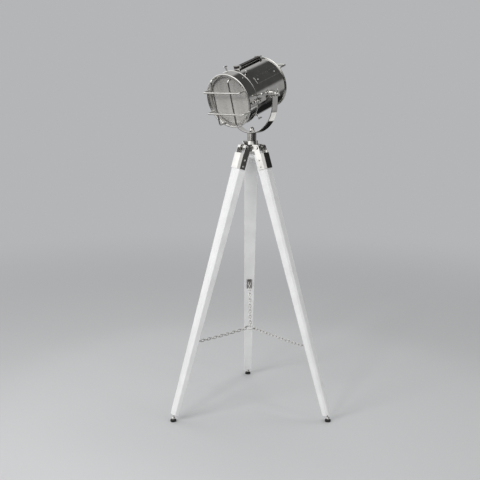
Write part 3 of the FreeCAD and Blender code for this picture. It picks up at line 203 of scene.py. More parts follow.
def black_leather():
    """Vegetable-tanned harness leather, dyed black and waxed: pebbled grain, dull sheen."""
    material, tree, shader = surface("waxed_black_leather", (
        ("Base Color", 14.0, 4.0, 0.6, EVEN, (0.35, colour("#0D0C0B")), (0.75, colour("#262320"))),
        ("Roughness", 14.0, 4.0, 0.6, EVEN, (0.3, grey(0.32)), (0.7, grey(0.5))),
        ("Normal", 5.0, 3.0, 0.5, EVEN, 0.25, 0.5),
    ), Specular_IOR_Level=0.25)
    source = add(tree, "ShaderNodeTexCoord")
    cells = add(tree, "ShaderNodeTexVoronoi",
                {"feature": "DISTANCE_TO_EDGE", "Scale": per_metre(1.1), "Randomness": 1.0},
                {"Vector": source.outputs["Object"]})
    pebbles = add(tree, "ShaderNodeValToRGB", {"stops": ((0.0, grey(0.0)), (0.25, grey(1.0)))},
                  {"Fac": cells.outputs["Distance"]})
    grain = add(tree, "ShaderNodeBump", {"Distance": 0.12 * MM, "Strength": 0.6},
                {"Height": pebbles.outputs["Color"]})
    creases = shader.inputs["Normal"].links[0].from_node
    tree.links.new(grain.outputs["Normal"], creases.inputs["Normal"])
    return material


def waxed_thread():
    """Waxed linen thread for the strap's seam: brown against the black leather."""
    return surface("waxed_thread", (
        ("Base Color", 0.8, 3.0, 0.5, (1, 1, 3), (0.3, colour("#3F3A33")),
         (0.7, colour("#5E574D"))),
    ), Roughness=0.55)[0]


def black_rubber():
    """Moulded rubber: dull black, fine even texture from the mould, dust in it."""
    return surface("moulded_black_rubber", (
        ("Base Color", 6.0, 4.0, 0.5, EVEN, (0.4, colour("#141414")), (0.8, colour("#2A2A29"))),
        ("Normal", 0.6, 3.0, 0.5, EVEN, 0.05, 1.0),
    ), Roughness=0.78)[0]


def frosted_glass():
    """Sandblasted plate, milky; its colour has painted light, paler low down and darker higher up.
    """
    material, tree, shader = surface("sandblasted_glass", (
        ("Roughness", 0.7, 2.0, 0.5, EVEN, (0.3, grey(0.42)), (0.7, grey(0.55))),
        ("Normal", 0.7, 2.0, 0.5, EVEN, 0.02, 0.5),
    ), Transmission_Weight=0.12, IOR=1.5)
    source = add(tree, "ShaderNodeTexCoord")
    height = add(tree, "ShaderNodeSeparateXYZ", links={"Vector": source.outputs["Object"]})
    edge = 107 * MM
    upwards = add(tree, "ShaderNodeMapRange", {"From Min": -edge, "From Max": edge},
                  {"Value": height.outputs["Y"]})
    # Painted light: the base colour runs from pale grey at the bottom to a darker grey at the top.
    painted_light_gradient = add(tree, "ShaderNodeValToRGB",
               {"stops": ((0.0, colour("#C6C4C0")), (1.0, colour("#8F8D8A")))},
               {"Fac": upwards.outputs["Result"]})
    tree.links.new(painted_light_gradient.outputs["Color"], shader.inputs["Base Color"])
    return material


def clear_glass():
    """Blown bulb glass: thin and clear, with a faint waviness."""
    return surface("blown_clear_glass", (
        ("Base Color", 30.0, 3.0, 0.5, EVEN, (0.3, colour("#F4F6F5")), (0.7, colour("#FFFFFF"))),
        ("Normal", 12.0, 3.0, 0.5, EVEN, 0.02, 0.3),
    ), Transmission_Weight=1.0, IOR=1.47, Roughness=0.02)[0]


def spun_aluminium():
    """Bright spun aluminium: a mirror with fine rings left by the spinning tool."""
    material, tree, shader = surface("spun_aluminium", (
        ("Base Color", 40.0, 3.0, 0.5, EVEN, (0.3, colour("#CFD0D1")), (0.7, colour("#E2E3E4"))),
    ), Metallic=1.0)
    source = add(tree, "ShaderNodeTexCoord")
    rings = add(tree, "ShaderNodeTexWave",
                {"wave_type": "RINGS", "rings_direction": "Z", "Scale": per_metre(16.0),
                 "Distortion": 1.0, "Detail": 2.0},
                {"Vector": source.outputs["Object"]}).outputs["Fac"]
    gloss = add(tree, "ShaderNodeValToRGB", {"stops": ((0.2, grey(0.13)), (0.8, grey(0.22)))},
                {"Fac": rings})
    tree.links.new(gloss.outputs["Color"], shader.inputs["Roughness"])
    ridges = add(tree, "ShaderNodeBump", {"Distance": 0.01 * MM, "Strength": 0.4},
                 {"Height": rings})
    tree.links.new(ridges.outputs["Normal"], shader.inputs["Normal"])
    return material


def plated_steel(name, dark, light, rough):
    """Zinc-plated steel: bluish, half-dull, with the rolling grain under the plate."""
    grain = (3.0, 4.0, 0.5, (1, 8, 1))
    return surface(name, (
        ("Base Color", *grain, (0.3, colour(dark)), (0.7, colour(light))),
        ("Roughness", *grain, (0.3, grey(rough)), (0.7, grey(rough + 0.12))),
        ("Normal", *grain, 0.01, 0.5),
    ), Metallic=1.0)[0]


def moulded_plastic(name, dark, light, rough):
    """Moulded phenolic or nylon: flow marks, a fine mould texture."""
    flow = (12.0, 3.0, 0.5, EVEN)
    return surface(name, (
        ("Base Color", *flow, (0.3, colour(dark)), (0.7, colour(light))),
        ("Roughness", *flow, (0.3, grey(rough)), (0.7, grey(rough + 0.1))),
        ("Normal", 0.8, 3.0, 0.5, EVEN, 0.01, 1.0),
    ))[0]


NICKEL = polished_nickel("polished_nickel")
NICKEL_SMALL = polished_nickel("polished_nickel_fittings", 0.08, 0.2, 0.006)
NICKEL_CHAIN = polished_nickel("tumbled_nickel_chain", 0.14, 0.28, 0.004)
# Painted shade: nickel with a darker colour, a little rougher than the drum's, for the pole and
# the chain hooks.
NICKEL_PAINTED_SHADE = polished_nickel("nickel_with_painted_shade", 0.08, 0.2, 0.006, "#8F8D8A", "#A19F9C")
PAINT = white_paint()
LEATHER = black_leather()
THREAD = waxed_thread()
RUBBER = black_rubber()
FROSTED = frosted_glass()
CLEAR = clear_glass()
ALUMINIUM = spun_aluminium()
ZINC = plated_steel("zinc_plated_steel", "#8D9196", "#B4B8BC", 0.3)
TUNGSTEN = plated_steel("filament_wire", "#5A5856", "#7C7A77", 0.35)
BRASS = plated_steel("brass_cap", "#B08D48", "#CDAE6A", 0.25)
BAKELITE = moulded_plastic("pressed_bakelite", "#100D0B", "#1D1815", 0.18)
NYLON = moulded_plastic("moulded_nylon", "#151515", "#232323", 0.4)

MATERIAL_SLOTS = {
    "polished_nickel": NICKEL_SMALL, "white_painted_wood": PAINT, "black_rubber": RUBBER,
    "black_leather": LEATHER, "frosted_glass": FROSTED, "clear_glass": CLEAR,
    "spun_aluminium": ALUMINIUM, "black_bakelite": BAKELITE, "black_nylon": NYLON,
    "zinc_plated_steel": ZINC,
}
SLOT_OF_MATERIAL = {material.name: slot for slot, material in MATERIAL_SLOTS.items()}
for metal in (NICKEL, NICKEL_CHAIN, NICKEL_PAINTED_SHADE):
    SLOT_OF_MATERIAL[metal.name] = "polished_nickel"
for entry in frame["record"]["subparts"]:
    node_mesh = frame["nodes"][entry["node"]].data
    node_mesh.materials.clear()
    node_mesh.materials.append(MATERIAL_SLOTS[entry["material_slot"]])
for side in SIDES:
    frame["nodes"]["chain_" + side].data.materials[0] = NICKEL_CHAIN

# ---- Mesh tools -----------------------------------------------------------------------


def piece(name, mesh, where, body, material, replaced=(), smooth_below=35):
    """Puts a mesh, in millimetres, into the scene as a piece of a body."""
    data = bpy.data.meshes.new(name)
    bmesh.ops.scale(mesh, vec=(MM, MM, MM), verts=mesh.verts)
    bmesh.ops.recalc_face_normals(mesh, faces=mesh.faces)
    mesh.to_mesh(data)
    mesh.free()
    thing = bpy.data.objects.new(name, data)
    bpy.context.scene.collection.objects.link(thing)
    thing.matrix_world = where
    data.materials.append(material)
    data.shade_smooth()
    data.set_sharp_from_angle(angle=math.radians(smooth_below))
    even = thing.modifiers.new("flats_stay_flat", "WEIGHTED_NORMAL")
    even.keep_sharp = True
    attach(thing, body)
    if replaced:
        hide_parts(*replaced)
    return thing


def arc(centre, radius, start, end, steps=6):
    """Points on an arc, angles in degrees."""
    found = []
    for i in range(steps + 1):
        angle = math.radians(start + (end - start) * i / steps)
        found.append((centre[0] + radius * math.cos(angle),
                      centre[1] + radius * math.sin(angle)))
    return found


def softened(corners, radius, steps=3, closed=True):
    """The same outline with each corner rounded, as a formed or turned edge is."""
    result = []
    count = len(corners)
    for i, corner in enumerate(corners):
        if not closed and i in (0, count - 1):
            result.append(corner)
            continue
        here = Vector(corner)
        before = Vector(corners[i - 1]) - here
        after = Vector(corners[(i + 1) % count]) - here
        if before.length < 1e-6 or after.length < 1e-6:
            continue
        reach = min(radius, 0.45 * before.length, 0.45 * after.length)
        first = here + before.normalized() * reach
        last = here + after.normalized() * reach
        for k in range(steps + 1):
            t = k / steps
            result.append(tuple(first * (1 - t) ** 2 + here * 2 * t * (1 - t) + last * t * t))
    return result


def lathe(profile, steps=128, closed=True):
    """Turns (radius, height) points about Z. An open profile starts and ends on the axis."""
    mesh = bmesh.new()
    rings = []
    for radius, height in profile:
        if abs(radius) < 1e-6:
            rings.append([mesh.verts.new((0, 0, height))])
            continue
        rings.append([mesh.verts.new((radius * math.cos(TURN * k / steps),
                                      radius * math.sin(TURN * k / steps), height))
                      for k in range(steps)])
    pairs = list(zip(rings, rings[1:]))
    if closed:
        pairs.append((rings[-1], rings[0]))
    for low, high in pairs:
        if len(low) == 1 and len(high) == 1:
            continue
        for k in range(steps):
            ring_face = [low[k % len(low)], low[(k + 1) % steps % len(low)],
                         high[(k + 1) % steps % len(high)], high[k % len(high)]]
            mesh.faces.new(list(dict.fromkeys(ring_face)))
    return mesh


def rounded_path(corners, bend, steps=8):
    """A run through corners with arcs of one bend radius."""
    points = [Vector(corners[0])]
    for before, corner, after in zip(corners, corners[1:], corners[2:]):
        here = Vector(corner)
        come = (Vector(before) - here).normalized()
        leave = (Vector(after) - here).normalized()
        half = come.angle(leave) / 2
        reach = bend / math.tan(half)
        centre = here + (come + leave).normalized() * bend / math.sin(half)
        start = here + come * reach - centre
        axis = start.cross(here + leave * reach - centre)
        sweep = math.pi - 2 * half
        for k in range(steps + 1):
            points.append(centre + Matrix.Rotation(sweep * k / steps, 3, axis) @ start)
    points.append(Vector(corners[-1]))
    return points


def skin(mesh, rings, closed=False):
    """Faces from each ring of vertices to the next, and to the first again if closed."""
    pairs = list(zip(rings, rings[1:]))
    if closed:
        pairs.append((rings[-1], rings[0]))
    size = len(rings[0])
    for low, high in pairs:
        for k in range(size):
            mesh.faces.new((low[k], low[(k + 1) % size], high[(k + 1) % size], high[k]))


def sweep(points, radius, sides=20):
    """A rod of round section along points."""
    mesh = bmesh.new()
    shape = [(radius * math.cos(TURN * k / sides), radius * math.sin(TURN * k / sides))
             for k in range(sides)]
    rings = []
    normal = None
    for i, point in enumerate(points):
        ahead = points[i + 1] if i < len(points) - 1 else point
        behind = points[i - 1] if i > 0 else point
        along = (ahead - behind).normalized()
        if normal is None:
            guide = Vector((0, 0, 1)) if abs(along.z) < 0.9 else Vector((1, 0, 0))
            normal = along.cross(guide).normalized()
        normal = (normal - along * normal.dot(along)).normalized()
        side = along.cross(normal)
        rings.append([mesh.verts.new(point + normal * x + side * y) for x, y in shape])
    skin(mesh, rings)
    mesh.faces.new(list(reversed(rings[0])))
    mesh.faces.new(rings[-1])
    return mesh


def slab(outline, low, high, edge=0.6, steps=2):
    """A flat plate: an outline in X and Y, from low to high, with broken edges."""
    mesh = bmesh.new()
    bottom = [mesh.verts.new((x, y, low)) for x, y in outline]
    top = [mesh.verts.new((x, y, high)) for x, y in outline]
    mesh.faces.new(list(reversed(bottom)))
    mesh.faces.new(top)
    skin(mesh, [bottom, top])
    rims = [e for e in mesh.edges if abs(e.verts[0].co.z - e.verts[1].co.z) < 1e-6]
    bmesh.ops.bevel(mesh, geom=rims, offset=edge, segments=steps, profile=0.5,
                    affect="EDGES")
    return mesh


def moved(mesh, matrix):
    bmesh.ops.transform(mesh, matrix=matrix, verts=mesh.verts)
    return mesh


def joined(*meshes):
    whole = bmesh.new()
    for mesh in meshes:
        data = bpy.data.meshes.new("joining")
        mesh.to_mesh(data)
        mesh.free()
        whole.from_mesh(data)
        bpy.data.meshes.remove(data)
    return whole


def turn_to(axis, place=(0, 0, 0)):
    """A matrix that turns Z to an axis and moves to a place."""
    turn = Vector(axis).to_track_quat("Z", "Y").to_matrix().to_4x4()
    return Matrix.Translation(Vector(place)) @ turn


def refined(node, material, edge_mm, least_angle=35):
    """A machined copy of a CAD node: its flats merged and its sharp edges broken."""
    mesh = bmesh.new()
    mesh.from_mesh(frame["nodes"][node].data)
    bmesh.ops.remove_doubles(mesh, verts=mesh.verts, dist=1e-6)
    bmesh.ops.dissolve_limit(mesh, angle_limit=math.radians(0.6), verts=mesh.verts,
                             edges=mesh.edges)
    bmesh.ops.scale(mesh, vec=(1 / MM, 1 / MM, 1 / MM), verts=mesh.verts)
    thing = piece(node + "_finished", mesh, FLOOR, frame["nodes"][node]["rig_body"], material,
                  [node])
    bevel = thing.modifiers.new("broken_edges", "BEVEL")
    bevel.width = edge_mm * MM
    bevel.segments = 2
    bevel.limit_method = "ANGLE"
    bevel.angle_limit = math.radians(least_angle)
    bevel.harden_normals = True
    return thing


# ---- Drum -----------------------------------------------------------------------------

DRUM = 108.0
SHEET = 1.5
BORE = DRUM - SHEET
DRUM_FRONT = 118.0
DRUM_REAR = -94.5
FINE = 192


def make_drum():
    shell = [(BORE, DRUM_REAR), (DRUM, DRUM_REAR), (DRUM, DRUM_FRONT), (BORE, DRUM_FRONT)]
    parts = [lathe(softened(shell, 0.6), FINE)]
    hole, width, seat, flush = 5.1, 17.0, 100.9, 116.5
    pad = [(hole, seat), (width, seat), (width, flush), (hole, flush)]
    for way in (1, -1):
        disc = lathe(softened(pad, 0.7), 64)
        parts.append(moved(disc, turn_to((way, 0, 0), (0, pivot_up, pivot_along))))
    piece("drum_shell", joined(*parts), HEAD, "lamp_head", NICKEL, ["barrel"])


def make_rear_cover():
    edge = DRUM_REAR - 0.2
    rim = edge - SHEET
    dome = rim - 12.0
    inner, outer, roll = DRUM + 0.2, DRUM + 1.4, 2.3
    outside = [(inner, edge + 6.0), (outer, edge + 6.0), (outer, rim + 4.3)]
    outside += arc((110.9, rim + 2.2), roll, 120, -90, 12)
    crown = []
    for k in range(13):
        share = k / 12
        crown.append((104.0 * math.cos(share * math.pi / 2),
                      rim - 0.1 + (dome - rim) * math.sin(share * math.pi / 2)))
    lining = [(radius - 0.4 if radius > 1 else 0.0, height + SHEET)
              for radius, height in reversed(crown)]
    profile = outside + crown + lining + [(inner, edge)]
    profile[len(outside) + len(crown) - 1] = (0.0, dome - 0.1)
    cover = lathe(profile, FINE)
    piece("rear_cover_spun", cover, HEAD, "lamp_head", NICKEL, ["rear_cover"])


def make_rear_handle():
    foot = DRUM_REAR - 1.9
    reach = foot - 45.0
    rise = 64.0
    half = 90.2
    path = rounded_path([(half, rise, foot), (half, rise, reach), (-half, rise, reach),
                         (-half, rise, foot)], 9.0)
    parts = [sweep(path, 3.4, 24)]
    boss = softened([(0.0, 0.0), (5.4, 0.0), (5.4, 2.2), (3.4, 4.0), (0.0, 4.0)], 0.7,
                    closed=False)
    for way in (1, -1):
        parts.append(moved(lathe(boss, 40, False),
                           turn_to((0, 0, -1), (way * half, rise, foot))))
    piece("rear_handle_rod", joined(*parts), HEAD, "lamp_head", NICKEL, ["rear_handle"])


def make_side_plate():
    """Curved plate screwed round the drum's shoulder."""
    inner, outer = 108.1, 109.8
    start, end = math.radians(25.6), math.radians(42.0)
    front, rear = 75.0, -72.0
    steps = 20
    mesh = bmesh.new()
    grid = []
    for radius in (inner, outer):
        for height in (rear, front):
            grid.append([mesh.verts.new((radius * math.cos(start + (end - start) * k / steps),
                                         radius * math.sin(start + (end - start) * k / steps),
                                         height)) for k in range(steps + 1)])
    for a, b in ((0, 1), (1, 3), (3, 2), (2, 0)):
        for k in range(steps):
            mesh.faces.new((grid[a][k], grid[a][k + 1], grid[b][k + 1], grid[b][k]))
    for k in (0, steps):
        mesh.faces.new((grid[0][k], grid[1][k], grid[3][k], grid[2][k]))
    bmesh.ops.recalc_face_normals(mesh, faces=mesh.faces)
    rims = [e for e in mesh.edges if len(e.link_faces) == 2
            and e.calc_face_angle() > math.radians(60)]
    bmesh.ops.bevel(mesh, geom=rims, offset=0.7, segments=3, profile=0.5, affect="EDGES")
    piece("side_plate_sheet", mesh, HEAD, "lamp_head", NICKEL, ["side_plate"])
    middle = math.radians(33.8)
    rivets = []
    dome = softened([(0.0, 0.0), (3.4, 0.0), (3.4, 0.5), (2.2, 1.6), (0.0, 1.9)], 0.5,
                    closed=False)
    for along in (58.8, -55.5):
        out = Vector((math.cos(middle), math.sin(middle), 0))
        rivets.append(moved(lathe(dome, 32, False), turn_to(out, out * outer + UP * along)))
    piece("plate_rivet_heads", joined(*rivets), HEAD, "lamp_head", NICKEL_SMALL,
          ["plate_rivets"])


# ---- Carry strap ----------------------------------------------------------------------

STRAP_LOW = 111.6
STRAP_HIGH = 119.6
STRAP_FRONT = 78.0
STRAP_REAR = -86.0


def make_carry_strap():
    """Folded leather strap: flat faces, rounded edges, a slight crown between the loops."""
    half, thick = 12.5, STRAP_HIGH - STRAP_LOW
    section = softened([(-half, 0), (half, 0), (half, thick), (-half, thick)], 3.6, 4)
    mesh = bmesh.new()
    stations = 48
    rings = []
    for i in range(stations + 1):
        share = i / stations
        along = STRAP_REAR + (STRAP_FRONT - STRAP_REAR) * share
        ends = min(1.0, 12 * min(share, 1 - share) + 0.72)
        crown = 0.35 * math.sin(math.pi * share)
        rings.append([mesh.verts.new((x * (0.985 - 0.02 * math.sin(math.pi * share)),
                                      STRAP_LOW + thick / 2 + (y - thick / 2) * ends
                                      - crown * 0.3, along)) for x, y in section])
    skin(mesh, rings)
    mesh.faces.new(rings[0])
    mesh.faces.new(rings[-1])
    strap = piece("carry_strap_leather", mesh, HEAD, "lamp_head", LEATHER, ["carry_strap"], 50)
    stitches = []
    seam, pitch, length = 8.6, 4.2, 2.8
    count = int((STRAP_FRONT - STRAP_REAR - 36) / pitch)
    for way in (1, -1):
        for i in range(count):
            along = STRAP_REAR + 20 + pitch * i
            path = [Vector((way * seam, STRAP_HIGH + rise, along + length * share))
                    for rise, share in ((-0.25, 0), (0.05, 0.3), (0.05, 0.7), (-0.25, 1))]
            stitches.append(sweep(path, 0.42, 6))
    piece("carry_strap_stitches", joined(*stitches), HEAD, "lamp_head", THREAD)


def make_strap_loops():
    """Two square metal loops with rounded corners, brazed to the drum."""
    half, low, high, wall = 12.7, 108.2, 119.8, 3.0
    loops = []
    for start, end in ((63.0, 75.0), (-83.0, -71.0)):
        outer = softened([(-half - wall, low), (half + wall, low), (half + wall, high + wall),
                          (-half - wall, high + wall)], 2.4, 4)
        inner = softened([(-half, low + wall), (half, low + wall), (half, high),
                          (-half, high)], 1.2, 4)
        mesh = bmesh.new()
        sides = []
        for outline in (outer, inner):
            for along in (start, end):
                sides.append([mesh.verts.new((x, y, along)) for x, y in outline])
        skin(mesh, [sides[i] for i in (0, 1, 3, 2)], closed=True)
        rims = [e for e in mesh.edges if abs(e.verts[0].co.z - e.verts[1].co.z) < 1e-6]
        bmesh.ops.bevel(mesh, geom=rims, offset=0.5, segments=2, affect="EDGES")
        loops.append(mesh)
    piece("strap_loop_frames", joined(*loops), HEAD, "lamp_head", NICKEL_SMALL,
          ["strap_loops"])


# ---- Bezel ----------------------------------------------------------------------------

SKIRT = 114.5
SKIRT_REAR = 113.0
FACE = 161.0
WINDOW = 101.5


def make_bezel():
    inner = SKIRT - SHEET
    lip = arc((SKIRT, SKIRT_REAR + 1.2), 1.2, -100, 80, 6)
    bead = arc((inner, FACE + 3.0), 3.0, -28, 205, 14)
    profile = [(inner, SKIRT_REAR + 0.2)] + lip + [(SKIRT, SKIRT_REAR + 3.2), (SKIRT, FACE + 1)]
    profile += bead
    profile += softened([(inner - 3.0, FACE + 1.0), (inner - 3.4, FACE), (WINDOW, FACE),
                         (WINDOW, FACE - 11), (WINDOW + SHEET, FACE - 11),
                         (WINDOW + SHEET, FACE - SHEET), (inner, FACE - SHEET)], 0.7, 3,
                        closed=False)
    near, far, bottom, top = 113.4, 127.0, -17, -5
    lug = slab([(near, bottom), (far, bottom), (far, top), (near, top)], 117, 123, 0.8)
    piece("bezel_spun", joined(lathe(profile, FINE), lug), HEAD, "front_door", NICKEL, ["bezel"])


def make_guard_rods():
    """Two level rods, and two upright ones that cross close behind them."""
    ring, offset, crossing = 106.5, 45.6, 5.85
    half = math.sqrt(ring * ring - offset * offset)
    wire = 3.3
    foot = FACE + 0.05
    front = FACE + 6.0 + 34.8
    behind = front - crossing
    collar = softened([(0.0, 0.0), (4.6, 0.0), (4.6, 1.2), (3.2, 2.6), (0.0, 2.6)], 0.5,
                      closed=False)
    rods = {"top": (front, offset, True), "bottom": (front, -offset, True),
            "left": (behind, offset, False), "right": (behind, -offset, False)}
    for name, (reach, side, level) in rods.items():
        ends = [(half, side), (-half, side)] if level else [(-side, half), (-side, -half)]
        path = rounded_path([(*ends[0], foot), (*ends[0], reach), (*ends[1], reach),
                             (*ends[1], foot)], 8.0)
        parts = [sweep(path, wire, 24)]
        for x, y in ends:
            parts.append(moved(lathe(collar, 32, False), Matrix.Translation((x, y, foot))))
        piece(f"guard_rod_{name}_bent", joined(*parts), HEAD, "front_door", NICKEL,
              ["guard_rod_" + name])


def make_thumb_screws():
    """Four screws with a ball-ended crossbar, round the drum behind the bezel's lip."""
    station, reach, span = 97.0, 133.0, 17.0
    shank = softened([(0.0, 104.6), (3.0, 104.6), (3.0, 108.3), (4.6, 108.3), (4.6, 112.0),
                      (3.6, 113.3), (3.0, 114.5), (3.0, 131.0), (0.0, 131.0)], 0.6,
                     closed=False)
    half = span / 2
    bar = [(0.0, -half - 3.2)] + arc((0, -half), 3.2, -80, 30, 5)
    bar += [(2.5, -half + 3.6), (2.5, half - 3.6)] + arc((0, half), 3.2, -30, 80, 5)
    bar += [(0.0, half + 3.2)]
    meshes = []
    for bearing in (108, 56, -44.5, 215):
        angle = math.radians(bearing)
        out = Vector((math.cos(angle), math.sin(angle), 0))
        meshes.append(moved(lathe(shank, 32, False), turn_to(out, UP * station)))
        meshes.append(moved(lathe(bar, 28, False), Matrix.Translation(out * reach
                                                                     + UP * station)))
    piece("bezel_thumb_screw_set", joined(*meshes), HEAD, "lamp_head", NICKEL_SMALL,
          ["bezel_thumb_screws"])


def make_glass():
    low, high = 145.1, 148.1
    plate = softened([(0.0, low), (107.5, low), (107.5, high), (0.0, high)], 0.5,
                     closed=False)
    piece("front_glass_plate", lathe(plate, FINE, False), HEAD, "front_door", FROSTED,
          ["front_glass"])


def make_closing_screw():
    """Knurled head, two washers and a shank, beside the bezel."""
    side, drop = 121.0, -11.0
    profile = softened([(0.0, 98.0), (2.0, 98.0), (2.5, 99.0), (2.5, 123.2), (4.5, 123.2),
                        (4.5, 127.2), (2.6, 127.6), (2.6, 131.0), (5.2, 132.5), (5.2, 137.5),
                        (2.8, 139.0), (2.8, 148.6), (5.0, 149.2), (6.0, 150.6), (6.0, 156.4),
                        (5.0, 158.0), (0.0, 158.0)], 0.6, closed=False)
    screw = lathe(profile, 72, False)
    for vertex in screw.verts:
        radius = math.hypot(vertex.co.x, vertex.co.y)
        if radius > 5.7:
            ridge = 1 - 0.045 * (0.5 + 0.5 * math.cos(24 * math.atan2(vertex.co.y, vertex.co.x)))
            vertex.co.x *= ridge
            vertex.co.y *= ridge
    moved(screw, Matrix.Translation((side, drop, 0)))
    piece("closing_screw_turned", screw, HEAD, "closing_screw", NICKEL_SMALL,
          ["closing_screw"])


# ---- Yoke, pole and tilt fittings -----------------------------------------------------

YOKE_OUTER = 124.0
STRAP_WIDTH = 36.0
STRAP_THICK = 4.0
ARM = 45.0
ARM_TOP = 14.0
ARC_HEIGHT = PIVOT_HEIGHT - ARM


def make_yoke():
    """One flat strap bent to a U, its ends rounded about the tilt bolt."""
    middle = YOKE_OUTER - STRAP_THICK / 2
    half = STRAP_WIDTH / 2
    stations = []
    crown = 12
    for k in range(crown + 1):
        rise = ARM_TOP * math.cos(math.pi / 2 * k / crown)
        stations.append((Vector((middle, 0, PIVOT_HEIGHT + rise)), Vector((1, 0, 0)),
                         math.sqrt(half * half - rise * rise)))
    for k in range(1, 5):
        stations.append((Vector((middle, 0, PIVOT_HEIGHT - ARM * k / 4)), Vector((1, 0, 0)),
                         half))
    for k in range(1, 96):
        angle = math.pi * k / 96
        out = Vector((math.cos(angle), 0, -math.sin(angle)))
        stations.append((Vector((0, 0, ARC_HEIGHT)) + out * middle, out, half))
    stations += [(Vector((-p.x, 0, p.z)), Vector((-1, 0, 0)), w)
                 for p, _, w in reversed(stations[:crown + 5])]
    mesh = bmesh.new()
    t, edge = STRAP_THICK / 2, 0.8
    rings = []
    for centre, out, width in stations:
        corners = softened([(-width, -t), (width, -t), (width, t), (-width, t)], edge, 2)
        rings.append([mesh.verts.new(centre + Vector((0, 1, 0)) * y + out * x)
                      for y, x in corners])
    skin(mesh, rings)
    mesh.faces.new(rings[0])
    mesh.faces.new(rings[-1])
    piece("yoke_strap", mesh, YOKE, "yoke_and_pole", NICKEL, ["yoke"])


def make_pole():
    bottom, top = 1216.3, 1246.8
    profile = softened([(0.0, 1182.0), (12.0, 1182.0), (12.0, bottom), (17.0, bottom),
                        (19.0, bottom + 1.2), (19.0, top), (5.0, top), (5.0, top + 12.0),
                        (0.0, top + 12.0)], 0.6, closed=False)
    # Painted shade: the pole takes the darker nickel.
    piece("pole_turned", lathe(profile, 96, False), YOKE, "yoke_and_pole", NICKEL_PAINTED_SHADE, ["pole"])


def hexagon(corner):
    return [(corner * math.cos(TURN * k / 6), corner * math.sin(TURN * k / 6))
            for k in range(6)]


def make_acorn_nut():
    seat = 1251.5
    base = slab(hexagon(12.5), seat, seat + 8.0, 0.9)
    dome = [(0.0, seat + 7.0), (10.2, seat + 7.0), (9.6, seat + 8.6), (9.5, seat + 14.0)]
    dome += arc((0, seat + 14.0), 9.5, 0, 88, 10) + [(0.0, seat + 23.5)]
    piece("acorn_nut_turned", joined(base, lathe(dome, 64, False)), YOKE, "yoke_and_pole",
          NICKEL_SMALL, ["acorn_nut"])


KNOB_START = 124.2
KNOB_END = 143.7


def make_knob(way):
    """The turned hub of a clamp nut on the tilt bolt, along the tilt axis."""
    profile = softened([(5.1, KNOB_START), (9.0, KNOB_START), (9.0, KNOB_START + 3.0),
                        (7.2, KNOB_START + 5.0), (6.6, KNOB_END - 9.0), (7.6, KNOB_END - 6.0),
                        (8.4, KNOB_END - 2.0), (7.4, KNOB_END), (5.1, KNOB_END)], 0.7)
    knob = lathe(profile, 48)
    return moved(knob, turn_to((way, 0, 0), (0, 0, PIVOT_HEIGHT)))


def paddle(length, root, tip, thick):
    """A flat wing along +Y, narrow at its root and round at its tip."""
    outline = [(-root, 0), (root, 0), (tip, length - tip)]
    outline += arc((0, length - tip), tip, 0, 180, 10)[1:]
    return slab(outline, -thick / 2, thick / 2, 1.1, 3)


def make_tilt_lever():
    line = KNOB_END - 5.0
    reach = 110.0
    parts = [make_knob(1)]
    rod = [Vector((line, y, PIVOT_HEIGHT)) for y in (-4, -30, -70, -reach)]
    parts.append(sweep(rod, 2.6, 20))
    ball = [(0.0, -5.5)] + arc((0, 0), 5.5, -85, 85, 16) + [(0.0, 5.5)]
    parts.append(moved(lathe(ball, 40, False), Matrix.Translation((line, -reach,
                                                                  PIVOT_HEIGHT))))
    wing = paddle(24.0, 4.4, 6.2, 3.6)
    tilt_up = Matrix(((0, 0, 1, 0), (1, 0, 0, 0), (0, 1, 0, 0), (0, 0, 0, 1)))
    parts.append(moved(wing, Matrix.Translation((line, 2.0, PIVOT_HEIGHT)) @ tilt_up))
    piece("tilt_lever_cast", joined(*parts), YOKE, "tilt_lever", NICKEL_SMALL,
          ["tilt_lever"])


def make_wing_nut():
    line = KNOB_END - 5.0
    parts = [make_knob(-1)]
    for way in (1, -1):
        stand = Matrix(((0, 0, 1, 0), (0, way, 0, 0), (-way, 0, 0, 0), (0, 0, 0, 1)))
        parts.append(moved(paddle(24.0, 3.4, 5.0, 3.4),
                           Matrix.Translation((-line, 0, PIVOT_HEIGHT)) @ stand))
    piece("tilt_wing_nut_cast", joined(*parts), YOKE, "tilt_wing_nut", NICKEL_SMALL,
          ["tilt_wing_nut"])


# ---- Tripod ---------------------------------------------------------------------------

WOOD_TOP = -28.0
WOOD_BOTTOM = -1206.9
WOOD_AT_HINGE = (21.2, 31.2)
WOOD_AT_FOOT = (13.35, 19.2)
OUTER_CHAMFER = 8.0


def make_leg(side):
    """A tapered square timber, its outer edges planed off and its inner ones eased."""
    mesh = bmesh.new()
    rings = []
    count = 24
    for i in range(count + 1):
        share = i / count
        height = WOOD_TOP + (WOOD_BOTTOM - WOOD_TOP) * share
        x, y = (top + (foot - top) * share for top, foot in zip(WOOD_AT_HINGE, WOOD_AT_FOOT))
        flats = [(x - OUTER_CHAMFER, -y), (x, OUTER_CHAMFER - y), (x, y - OUTER_CHAMFER),
                 (x - OUTER_CHAMFER, y)]
        outer = softened([(0.0, -y)] + flats + [(0.0, y)], 0.6, 2, closed=False)[1:-1]
        inner = softened([(0.0, y), (-x, y), (-x, -y), (0.0, -y)], 2.6, 4,
                         closed=False)[1:-1]
        rings.append([mesh.verts.new((a, b, height)) for a, b in outer + inner])
    skin(mesh, rings)
    for ring in (rings[0], rings[-1]):
        cap = mesh.faces.new(ring)
        bmesh.ops.inset_region(mesh, faces=[cap], thickness=1.0, depth=0.0)
    piece("leg_timber_" + side, mesh, leg_frame(side), "leg_" + side, PAINT, ["leg_" + side],
          25)


